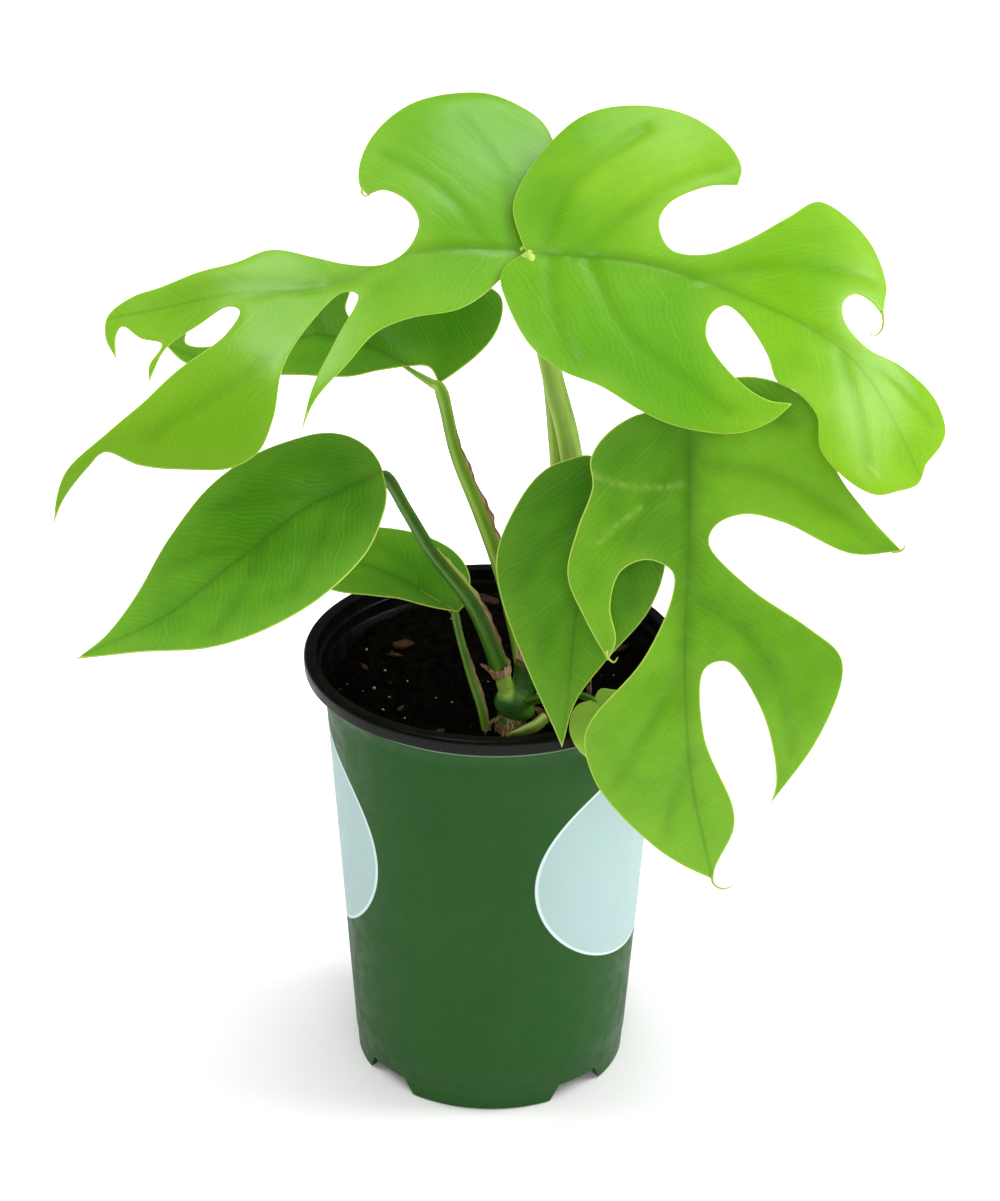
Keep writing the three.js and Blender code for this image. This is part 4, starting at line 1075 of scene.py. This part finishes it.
stem = new_piece("knuckled_stem", join_shapes(stem_parts), stem_finish,
                 nodes=["main_stem"], slot="stem_green")
melt = stem.modifiers.new("melt", "REMESH")
melt.mode = "VOXEL"
melt.voxel_size = VOXEL_MM * MM
soften = stem.modifiers.new("soften", "SMOOTH")
soften.factor = 0.5
soften.iterations = SMOOTHINGS
apply_modifiers(stem)
smooth_shade(stem)

x, _, z = points_of(stem).T
at_foot = hump(z - 118.5, 2.4)
girdle = hump((z - 122.3) + 0.28 * (x - 5), 0.55) * 0.9
ring = 0.7 * hump(z - 136.4, 0.9)
add_number(stem, "age", np.clip(np.maximum.reduce((at_foot, girdle, ring)), 0, 1))
add_number(stem, "young", np.clip((z - 127.5) / 2, 0, 1) * np.clip((6.2 - x) / 1.2, 0, 1))
print("stem faces:", len(stem.data.polygons))

# %% [markdown]
# Old leaf sheaths dry to brown paper. Two torn cups stay where a stalk leaves the stem, and
# three stalks keep a dry margin along one side. Both are thin sheets with a ragged free edge,
# so they are made as grids that follow their carrier, with noise only along the torn side.

# %% Dry sheath finish
husk = Finish("dry sheath")
fibres = husk.effect(mottle, husk.drawn_out(0.15), Scale=900, Contrast=0.2)
torn = husk.number("free").step(0.45, 1)
colour = husk.layers("8a6a48", (fibres, "c2a27c"), (torn * 0.6, "5b3d2a"), (husk.number("living"), "a3b04e"))
dry_finish = husk.cover(colour, 0.75, fibres, 0.5, 0.0004)
print("finish made:", dry_finish.name)

# %% Sheets with a torn edge


def thin_sheet(front, thickness):
    """A closed sheet from a grid of points [row][column], thickened to both sides."""
    grid = np.array(front)
    rows, columns = grid.shape[:2]
    normal = np.cross(np.gradient(grid, axis=0), np.gradient(grid, axis=1))
    normal = normal / np.maximum(np.linalg.norm(normal, axis=2, keepdims=True), 1e-9)
    skins = [(grid + normal * thickness / 2).reshape(-1, 3), (grid - normal * thickness / 2).reshape(-1, 3)]
    count = rows * columns
    faces = []
    for a, b, c, d in quads(rows, columns, closed=False):
        faces.append((a, d, c, b))
        faces.append((count + a, count + b, count + c, count + d))
    rim = [*range(columns), *(i * columns + columns - 1 for i in range(1, rows)),
           *((rows - 1) * columns + k for k in range(columns - 2, -1, -1)),
           *(i * columns for i in range(rows - 2, 0, -1))]
    faces.extend((a, b, count + b, count + a) for a, b in zip(rim, rim[1:] + rim[:1]))
    return np.concatenate(skins), faces


DRY_MARGINS = {
    "front_left": {"from": 0.03, "to": 0.62, "side": (1, -0.15, 0.3), "width": 2.1, "living": 0.55},
    "rear_left": {"from": 0.28, "to": 0.86, "side": (1, -0.3, 0.2), "width": 1.9, "living": 0},
    "low_left": {"from": 0.18, "to": 0.72, "side": (1, -0.3, 0.2), "width": 1.3, "living": 0},
}
MARGIN_COLUMNS = 7


def make_dry_margin(leaf, margin):
    path = even_path(leaf["petiole"], 0.7)
    last = len(path) - 1
    first_row, last_row = round(margin["from"] * last), round(margin["to"] * last)
    foot_radius, top_radius = leaf["petiole_radius"]
    sheet = []
    for i in range(first_row, last_row + 1):
        t = (i - first_row) / (last_row - first_row)
        along = heading(path, i)
        out = square_to(margin["side"], along)
        lift = np.cross(out, along)
        radius = (foot_radius + (top_radius - foot_radius) * i / last) * 0.93
        torn_by = 0.65 + 0.5 * waver(i * 0.22, foot_radius, 3)
        width = margin["width"] * torn_by * math.sin(math.pi * min(max(t, 0.02), 0.98)) ** 0.45
        curl = 0.5 * waver(i * 0.1, 7, foot_radius)
        sheet.append([path[i] + out * (radius + width * s) + lift * (0.35 * s + curl * s * s)
                      for s in np.linspace(0, 1, MARGIN_COLUMNS)])
    piece = new_piece(f"dry_margin_{leaf['name']}", thin_sheet(sheet, 0.28), dry_finish,
                      nodes=[f"sheath_{leaf['name']}"], slot="dry_sheath")
    upward = np.repeat(np.linspace(0, 1, len(sheet)), MARGIN_COLUMNS)
    add_number(piece, "free", np.tile(np.linspace(0, 1, MARGIN_COLUMNS), 2 * len(sheet)))
    add_number(piece, "living", np.tile(np.clip((upward - 1 + margin["living"]) * 6, 0, 1), 2))


leaf_named = {leaf["name"]: leaf for leaf in LEAVES}
for name, margin in DRY_MARGINS.items():
    make_dry_margin(leaf_named[name], margin)
print("dry margins:", len(DRY_MARGINS))

# %% Torn collars
COLLARS = {
    "collar_lower": {"foot": (2.5, -18, 134.4), "axis": (-0.34, 0, 0.94), "radius": 2.75, "tear": math.pi},
    "collar_upper": {"foot": (10, -12.6, 136.2), "axis": (0.3, 0.2, 0.93), "radius": 4.15, "tear": 2.4},
}
COLLAR_HEIGHT = 4.8
COLLAR_ROWS = 9
COLLAR_SIDES = 48


def make_collar(name, collar):
    turned = Vector((0, 0, 1)).rotation_difference(Vector(collar["axis"]).normalized())
    sheet = []
    for i in range(COLLAR_ROWS):
        row = []
        for k in range(COLLAR_SIDES + 1):
            around = 2 * math.pi * (k % COLLAR_SIDES) / COLLAR_SIDES
            ragged = waver(3 * math.cos(around), 3 * math.sin(around), collar["radius"])
            spike = math.exp(-((around - collar["tear"]) / 0.3) ** 2)
            height = COLLAR_HEIGHT * (0.62 + 0.3 * ragged + 0.3 * spike) * i / (COLLAR_ROWS - 1)
            flare = (1 + 0.9 * spike) * (height / COLLAR_HEIGHT) ** 1.4
            radius = collar["radius"] + flare + 0.12 * math.sin(9 * around)
            point = turned @ Vector((radius * math.cos(around), radius * math.sin(around), height))
            row.append(np.array(collar["foot"]) + np.array(point))
        sheet.append(row)
    piece = new_piece(f"torn_{name}", thin_sheet(sheet, 0.3), dry_finish, nodes=[name], slot="dry_sheath")
    free = np.repeat(np.linspace(0, 1, COLLAR_ROWS), COLLAR_SIDES + 1)
    add_number(piece, "free", np.tile(free * 0.7, 2))


for name, collar in COLLARS.items():
    make_collar(name, collar)
print("collars:", len(COLLARS))

# %% [markdown]
# Two more things grow from the stem. A new shoot lies against the swollen node, still wrapped
# in its pale ribbed bract, and corky roots come down from the upper nodes into the mix.

# %% New shoot and aerial roots
SHOOT = [(3.6, -27, 119.7), (8, -26.4, 120.6), (12, -24.8, 121.6), (14.5, -22, 122.6)]
AERIAL_ROOTS = [
    [(12, -14.5, 126), (15.5, -16, 123.5), (17, -16.5, 113)],
    [(17, -9, 149), (20.5, -13, 143), (20, -17, 130), (19, -18, 110)],
    [(20, -4.5, 160), (24, -3, 156), (27, -1, 140), (28, 0, 112)],
]


def plain_material(name, roughness, scale, colour, other, strength, depth):
    """A dull finish of two colours in small patches, which also raise it."""
    plain = Finish(name)
    patches = plain.effect(mottle, Scale=scale, Contrast=0.2)
    return plain.cover(plain.layers(colour, (patches, other)), roughness, patches, strength, depth)


def shoot_section(t, angles):
    body = 0.3 + 1.6 * math.sin(math.pi * min(0.75 * t, 0.5)) ** 1.2
    return body * (1 + 0.07 * np.cos(3 * angles)) * (1 - 0.12 * np.abs(np.sin(angles)))


shoot_path = even_path(SHOOT, 0.35)
shoot = new_piece("budding_shoot", swept_tube(shoot_path, shoot_section, (0, -0.6, 0.8)),
                  stalk_material("new shoot", "84a338", "577c22", "b8c66a", 420),
                  nodes=["new_shoot"], slot="stem_green")
folds = np.abs(np.cos(1.5 * full_turn(TUBE_SIDES)))
add_number(shoot, "ridge", np.tile(folds ** 6, len(shoot_path)))
# The grooves between the bract's ribs are painted darker, as shade.
add_number(shoot, "groove", np.tile((1 - folds) ** 3, len(shoot_path)))

root_finish = plain_material("corky root", 0.85, 600, "6e5436", "a78a60", 0.7, 0.0005)
for i, route in enumerate(AERIAL_ROOTS):
    def root_section(t, angles):
        rough = 0.9 - 0.3 * t + 0.08 * waver(t * 25, i, 0)
        return rough * (1 + 0.06 * np.sin(5 * angles + 20 * t))

    new_piece(f"hanging_root_{i + 1}", swept_tube(even_path(route, 0.6), root_section, (0, -1, 0)),
              root_finish, nodes=[f"aerial_root_{i + 1}"], slot="root_bark")
print("roots in the air:", len(AERIAL_ROOTS))

# %% [markdown]
# The pot is one thin moulding turned on a lathe-like mould: black all through, with a green
# print round the outside that stops just under the lip. A revolved profile is the natural way
# to make it. The notches in its foot ring and the drain holes are cut afterwards, as the
# mould's inserts do.

# %% Pot shape
POT_HEIGHT = 133
POT_BASE_RADIUS = 40
POT_TOP_RADIUS = 49.5
POT_WALL = 1.1
LIP_RADIUS = 54.7
LIP_HEIGHT = 4.5
LIP_WIDTH = 3.9
LIP_INSIDE = LIP_RADIUS - LIP_WIDTH
LIP_ROUNDING = 1.35
SHOULDER_HEIGHT = 12
SHOULDER_FLARE = 1.3
LEDGE_DROP = 4
FOOT_BAND = 7.5
FOOT_WALL = 2
FLOOR_UNDERSIDE = 5.2
FLOOR_THICKNESS = 1.4
POT_SIDES = 288


def eased(amount, s):
    """An amount that comes in smoothly while s runs from 0 to 1."""
    s = min(max(s, 0), 1)
    return amount * s * s * (3 - 2 * s)


def wall_radius(height):
    straight = POT_BASE_RADIUS + (POT_TOP_RADIUS - POT_BASE_RADIUS) * height / POT_HEIGHT
    return straight + eased(SHOULDER_FLARE, (height - POT_HEIGHT + SHOULDER_HEIGHT) / (SHOULDER_HEIGHT / 2))


def rounding(radius, height, bend, degrees):
    turns = [math.radians(turn) for turn in degrees]
    return [(radius + bend * math.cos(turn), height + bend * math.sin(turn)) for turn in turns]


def pot_profile():
    shoulder = POT_HEIGHT - SHOULDER_HEIGHT
    lip_bottom = POT_HEIGHT - LIP_HEIGHT
    upper_ledge = POT_HEIGHT - LEDGE_DROP
    floor_top = FLOOR_UNDERSIDE + FLOOR_THICKNESS
    foot = POT_BASE_RADIUS - 0.2
    points = [(0, FLOOR_UNDERSIDE), (foot - FOOT_WALL, FLOOR_UNDERSIDE), (foot - FOOT_WALL, 0.3),
              (POT_BASE_RADIUS + 0.1 - FOOT_WALL, 0), (POT_BASE_RADIUS - 0.5, 0), (foot, 0.3),
              (wall_radius(FOOT_BAND) - 0.25, FOOT_BAND - 0.35), (wall_radius(FOOT_BAND), FOOT_BAND)]
    points.extend((wall_radius(height), height) for height in range(16, int(shoulder), 8))
    points.extend((wall_radius(shoulder + rise), shoulder + rise) for rise in np.arange(0, 7.1, 1))
    points.extend([(wall_radius(lip_bottom), lip_bottom), (LIP_RADIUS - 0.6, lip_bottom),
                   (LIP_RADIUS - 0.15, lip_bottom + 0.3)])
    points.extend(rounding(LIP_RADIUS - LIP_ROUNDING, POT_HEIGHT - LIP_ROUNDING, LIP_ROUNDING,
                           range(0, 91, 15)))
    points.extend(rounding(LIP_INSIDE + 0.8, POT_HEIGHT - 0.8, 0.8, range(90, 181, 18)))
    ledges = ((upper_ledge, LIP_INSIDE), (upper_ledge - LEDGE_DROP, wall_radius(upper_ledge) - POT_WALL))
    for ledge, radius in ledges:
        below = wall_radius(ledge) - POT_WALL
        points.extend([(radius - 0.1, ledge + 0.9), (radius - 0.2, ledge + 0.35),
                       (below + 0.25, ledge + 0.1), (below, ledge - 0.2)])
    points.extend((wall_radius(height) - POT_WALL, height) for height in range(118, 10, -12))
    points.extend([(wall_radius(floor_top) - POT_WALL - 1, floor_top), (0, floor_top)])
    return points


def revolve(profile, sides):
    points, faces, rings = [], [], []
    for radius, height in profile:
        rings.append([len(points)] * sides if radius == 0 else [len(points) + k for k in range(sides)])
        angles = [0] if radius == 0 else full_turn(sides)
        points.extend((radius * math.cos(a), radius * math.sin(a), height) for a in angles)
    for lower, upper in zip(rings, rings[1:]):
        for k in range(sides):
            after = (k + 1) % sides
            faces.append(tuple(dict.fromkeys((lower[k], lower[after], upper[after], upper[k]))))
    return points, faces


print("profile points:", len(pot_profile()))

# %% Cuts in the foot and floor
NOTCH_COUNT = 4
NOTCH_WIDTHS = (21, 14)
FOOT_TURN = -4
DRAIN_COUNT = 8
DRAIN_RADIUS = 3.5
DRAIN_CIRCLE = 28
DRAIN_SIDES = 32


def wedge_cutter(degrees):
    below, above = (width / 2 for width in NOTCH_WIDTHS)
    top = FLOOR_UNDERSIDE - 0.02
    corners = []
    for reach in (POT_BASE_RADIUS - FOOT_WALL - 3, POT_BASE_RADIUS + 3):
        corners.extend([(-below, -reach, -1), (below, -reach, -1),
                        (above, -reach, top), (-above, -reach, top)])
    turned = Matrix.Rotation(math.radians(degrees), 3, "Z")
    faces = [(0, 3, 2, 1), (4, 5, 6, 7), (0, 1, 5, 4), (1, 2, 6, 5), (2, 3, 7, 6), (3, 0, 4, 7)]
    return [tuple(turned @ Vector(corner)) for corner in corners], faces


def drain_cutter(turn):
    x, y = DRAIN_CIRCLE * math.cos(turn), DRAIN_CIRCLE * math.sin(turn)
    points = [(x + DRAIN_RADIUS * math.cos(a), y + DRAIN_RADIUS * math.sin(a), z)
              for z in (FLOOR_UNDERSIDE - 2, FLOOR_UNDERSIDE + FLOOR_THICKNESS + 2)
              for a in full_turn(DRAIN_SIDES)]
    sides = range(DRAIN_SIDES)
    faces = [(k, (k + 1) % DRAIN_SIDES, DRAIN_SIDES + (k + 1) % DRAIN_SIDES, DRAIN_SIDES + k) for k in sides]
    faces.extend([tuple(reversed(sides)), tuple(DRAIN_SIDES + k for k in sides)])
    return points, faces


pot_finish = Finish("printed pot")
cutters = [wedge_cutter(FOOT_TURN + 360 / NOTCH_COUNT * (i + 0.5)) for i in range(NOTCH_COUNT)]
cutters.extend(drain_cutter(2 * math.pi * i / DRAIN_COUNT) for i in range(DRAIN_COUNT))
pot = new_piece("moulded_pot", revolve(pot_profile(), POT_SIDES), pot_finish.material,
                nodes=["nursery_pot"], slot="pot_plastic")
cutter = new_piece("cutter", join_shapes(cutters), pot_finish.material)
cut = pot.modifiers.new("cut", "BOOLEAN")
cut.operation = "DIFFERENCE"
cut.solver = "EXACT"
cut.object = cutter
apply_modifiers(pot)
smooth_shade(pot, 32)
bpy.data.objects.remove(cutter)
x, y, z = points_of(pot).T
to_skin = np.array([wall_radius(height) for height in z]) - np.hypot(x, y)
add_number(pot, "outside", to_skin < 0.5)
print("pot faces:", len(pot.data.polygons))

# %% [markdown]
# The print is a satin green with a faint grain, where the ink lies on the plastic, and it has
# two large pale oval fields on opposite sides, which are left plain. The bare plastic above it
# is black and a little glossier, with faint dust mottled over it. Everything is placed by the
# turn round the pot and the height up it, worked out in one group.

# %% Where on the pot
round_pot, takes, gives = new_group("Round the pot", {}, ["Turn", "Height"])
centred = add_node(round_pot, "VectorMath", {0: takes["Vector"], 1: AXIS}, operation="SUBTRACT")
x, y, z = (add_node(round_pot, "SeparateXYZ", {0: centred}, side) for side in range(3))
plug(gives["Turn"], x.maths("ARCTAN2", y * -1) * (180 / math.pi))
plug(gives["Height"], z * (1 / MM))
print("effects now:", [group.name for group in bpy.data.node_groups])

# %% Pot finish
PRINT_TOP = 125.8
FIELD_TURNS = (75, -105)
FIELD_HALF_TURN = 59
FIELD_MIDDLE = 79
FIELD_HALF_HEIGHT = 35.5
turn = pot_finish.effect(round_pot)
height = Wire(turn.node, "Height")
grains = pot_finish.effect(mottle, Scale=1400, Contrast=0.3)
clouding = pot_finish.effect(mottle, Scale=30, Contrast=0.3)
dust = pot_finish.effect(mottle, Scale=220, Contrast=0.12)
ink = pot_finish.layers("1a4d12", (grains * 0.35, "10390d"), (clouding * 0.3, "235918"))
for field_turn in FIELD_TURNS:
    across = (turn - field_turn).maths("WRAP", 180, -180).maths("DIVIDE", FIELD_HALF_TURN)
    upward = (height - FIELD_MIDDLE).maths("DIVIDE", FIELD_HALF_HEIGHT)
    far = (across * across + upward * upward).maths("SQRT")
    ink = pot_finish.layers(ink, (far.step(1.006, 1), "cfe0df"), (far.step(0.985, 0.979), "a6c0bf"))
outside = pot_finish.number("outside").maths("GREATER_THAN", 0.5)
printed = height.maths("LESS_THAN", PRINT_TOP) * outside
hairline = height.maths("COMPARE", PRINT_TOP, 0.22) * outside
seam = height.maths("COMPARE", FOOT_BAND - 0.1, 0.3) * outside
colour = pot_finish.layers("050605", (dust * 0.25, "15160f"), (printed, ink),
                           (hairline * 0.5, "8fa891"), (seam * 0.35, "0c2a0c"))
pot_finish.cover(colour, printed * 0.1 + 0.3 + dust * 0.12, pot_finish.effect(grain, Scale=2200),
                 0.05, 0.0002, {"Specular IOR Level": 0.2})
print("pale fields on the pot:", len(FIELD_TURNS))

# %% [markdown]
# The mix is peat: nearly black crumbs with brown bark, fine fibres and a few white grains of
# perlite. Its top is a net of points pushed up and down by noise at three scales. The net
# follows the inside of the wall and is closed below, so that the mix is one solid, as it is
# when it is knocked out of the pot.

# %% Peat top
SOIL_LEVEL = 118.5
SOIL_RISE = 6.5
SOIL_CRUMB = 1.15
SOIL_GAP = 0.15
SOIL_BOTTOM = 7.2
SOIL_SCALES = ((0.9, 9, 1), (1.1, 3.4, 5), (0.9, 1.5, 9))


def soil_height(x, y):
    level = SOIL_LEVEL + eased(SOIL_RISE, y / 44) - 0.6
    for rise, width, seed in SOIL_SCALES:
        level += rise * waver(x / width, y / width, seed)
    return level


def soil_reach(height):
    return wall_radius(height) - POT_WALL - SOIL_GAP


def peat_top():
    widest = soil_reach(SOIL_LEVEL)
    count = int(widest / SOIL_CRUMB)
    rings = [(0.0, 1)]
    rings.extend((widest * (i + 1) / count, max(8, int(2 * math.pi * (i + 1)))) for i in range(count))
    flat = []
    for radius, sides in rings:
        shake = 0 if radius == widest else 0.3 * SOIL_CRUMB
        for k in range(sides):
            turn = 2 * math.pi * (k + 0.5 * (len(flat) % 2)) / sides
            x = radius * math.cos(turn) + shake * waver(turn * 9, radius, 2)
            flat.append(Vector((x, radius * math.sin(turn) + shake * waver(turn * 9, radius, 7))))
    edge = list(range(len(flat) - rings[-1][1], len(flat)))
    flat, _, triangles, *_ = geometry.delaunay_2d_cdt(flat, [], [edge], 1, 1e-6)
    return [(p.x, p.y, soil_height(p.x, p.y)) for p in flat], [tuple(face) for face in triangles], edge


peat_points, peat_faces, upper_ring = peat_top()
rim = [peat_points[k] for k in upper_ring]
for height in (112, 60, SOIL_BOTTOM):
    radius = soil_reach(height) - (1 if height == SOIL_BOTTOM else 0)
    lower_ring = list(range(len(peat_points), len(peat_points) + len(rim)))
    for x, y, _ in rim:
        peat_points.append((x * radius / math.hypot(x, y), y * radius / math.hypot(x, y), height))
    for k in range(len(rim)):
        after = (k + 1) % len(rim)
        peat_faces.append((upper_ring[k], lower_ring[k], lower_ring[after], upper_ring[after]))
    upper_ring = lower_ring
peat_faces.append(tuple(reversed(upper_ring)))
print("points of the peat:", len(peat_points))

# %% Peat finish
mix = Finish("peat")
clods = mix.effect(mottle, Scale=420, Contrast=0.2)
grit = mix.effect(fleck, Scale=900, Amount=0.12)
colour = mix.layers("020201", (clods, "0b0805"), (grit * 0.6, "33251a"))
peat_finish = mix.cover(colour, 0.95, mix.effect(grain, Scale=1500), 0.8, 0.0006,
                        {"Specular IOR Level": 0.06})
peat = new_piece("peat", (peat_points, peat_faces), peat_finish,
                 nodes=["potting_soil"], slot="potting_mix")
smooth_shade(peat, 50)
print("peat faces:", len(peat.data.polygons))

# %% [markdown]
# Bark, perlite and crumbs are loose bits, each a rough little stone. One seeded list places
# them and every kind is made as one piece. Flat long stones read as bark and round white ones
# as perlite.

# %% Loose bits
BARK_AT = [(-3, 45.5, 9.5, 5.4), (-26.7, 22.2, 6.5, 3.4), (-29, 18.3, 5, 2.6), (-15, -22.1, 4.6, 2.4),
           (38, 23, 6.5, 3.2), (-38, 14, 4.5, 2.2), (14, 33, 5.5, 2.8), (30, -22, 5, 2.6), (-22, -30, 4, 2.2)]
PERLITE_AT = [(-37.3, 21.6), (-31.7, 12.8), (-42.5, 4.3), (-34.6, 1.7), (-37.8, 2.2),
              (-30.1, -2.4), (-31.6, -11.3), (-25.2, -15.9), (-16.5, -2.7), (-10.1, 37),
              (33, 12), (24, -30), (8, 30), (39, -8)]
MORE_BARK = 26
MORE_PERLITE = 12
LOOSE_CRUMBS = 520
SUNK = 0.3
stone = bmesh.new()
bmesh.ops.create_icosphere(stone, subdivisions=2, radius=1)
stone_points = [tuple(vertex.co) for vertex in stone.verts]
stone_faces = [tuple(vertex.index for vertex in face.verts) for face in stone.faces]
stone.free()


def rough_stone(at, size, seed):
    """size holds the three half lengths; the stone lies turned by its seed."""
    chance = random.Random(seed)
    about_z = Matrix.Rotation(chance.uniform(0, math.pi), 3, "Z")
    turned = about_z @ Matrix.Rotation(chance.uniform(-0.35, 0.35), 3, "X")
    base = Vector((*at, soil_height(*at) + size[2] * (1 - 2 * SUNK)))
    points = []
    for corner in stone_points:
        bulge = 1 + 0.35 * noise.noise(Vector(corner) * 1.7 + Vector((seed, 0, 0)))
        bulge += 0.15 * noise.noise(Vector(corner) * 4 + Vector((0, seed, 0)))
        points.append(tuple(base + turned @ Vector([c * s * bulge for c, s in zip(corner, size)])))
    return points, stone_faces


def open_ground(chance):
    while True:
        x, y = chance.uniform(-46, 46), chance.uniform(-46, 46)
        if math.hypot(x, y) < 45.5 and math.hypot(x - 5, y + 20) > 7:
            return x, y


chance = random.Random(11)
bark = []
for i, (x, y, long, wide) in enumerate(BARK_AT):
    bark.append(rough_stone((x, y), (long / 2, wide / 2, wide / 4.5), i))
for i in range(MORE_BARK):
    long = chance.uniform(1.6, 3.6)
    bark.append(rough_stone(open_ground(chance), (long / 2, long / 4, long / 8), 40 + i))
perlite = [rough_stone(at, [chance.uniform(0.22, 0.48)] * 3, 100 + i) for i, at in enumerate(PERLITE_AT)]
for i in range(MORE_PERLITE):
    perlite.append(rough_stone(open_ground(chance), [chance.uniform(0.16, 0.32)] * 3, 140 + i))
crumbs = []
for i in range(LOOSE_CRUMBS):
    size = chance.uniform(0.35, 1.1)
    crumbs.append(rough_stone(open_ground(chance), (size, size * 0.8, size * 0.6), 200 + i))
print("bark, perlite, crumbs:", len(bark), len(perlite), len(crumbs))

# %% Finishes of the loose bits
bark_finish = plain_material("pine bark", 0.85, 500, "1e120b", "3c2715", 0.6, 0.0005)
perlite_finish = plain_material("perlite", 0.9, 1500, "a29c8c", "68645a", 0.6, 0.0003)
new_piece("bark_bits", join_shapes(bark), bark_finish, slot="potting_mix")
new_piece("perlite_grains", join_shapes(perlite), perlite_finish, slot="potting_mix")
new_piece("loose_crumbs", join_shapes(crumbs), peat_finish, slot="potting_mix")
print("loose bits in", peat_finish.name, "with", bark_finish.name, "and", perlite_finish.name)

# %% [markdown]
# Where the stem meets the mix it is wrapped in tan hairs of dead root. They are short bent
# tubes that start in the skin of the stem and end in the peat.

# %% Root hairs
HAIR_COUNT = 46
HAIR_STARTS = [(5.9, -17, 128.2), (9, -17, 126.2), (11.5, -17.4, 124), (2, -20.5, 122.5), (5, -24.5, 121.5)]


def hair_section(t, angles):
    return np.full(len(angles), 0.13 - 0.05 * t)


chance = random.Random(5)
hairs = []
for i in range(HAIR_COUNT):
    start = Vector(HAIR_STARTS[i % len(HAIR_STARTS)])
    start += Vector([chance.uniform(-1.2, 1.2) for _ in range(3)])
    outward = Vector((start.x - 5.5 + chance.uniform(-2, 2), start.y + 19.5 + chance.uniform(-2, 2), 0))
    outward = outward.normalized() * chance.uniform(2, 5)
    end = start + outward
    end.z = soil_height(end.x, end.y) - 0.4
    middle = (start + end) / 2 + Vector((0, 0, chance.uniform(-0.5, 1.2))) + outward * 0.2
    path = even_path([tuple(start - outward * 0.3), tuple(middle), tuple(end)], 0.8)
    hairs.append(swept_tube(path, hair_section, (0.1, 0.2, 1)))
new_piece("root_hairs", join_shapes(hairs), root_finish, slot="root_bark")
print("root hairs:", len(hairs))

# %% [markdown]
# The script ends by printing the sizes of the plain solids and of the fine surfaces. The
# fine surfaces may stand only a little outside the plain solids.

# %% Sizes
visual_box = [list(corner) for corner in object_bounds()]
for label, box in (("plain solids", cad_box), ("fine surfaces", visual_box)):
    print(label, [round(high - low, 4) for low, high in zip(*box)])
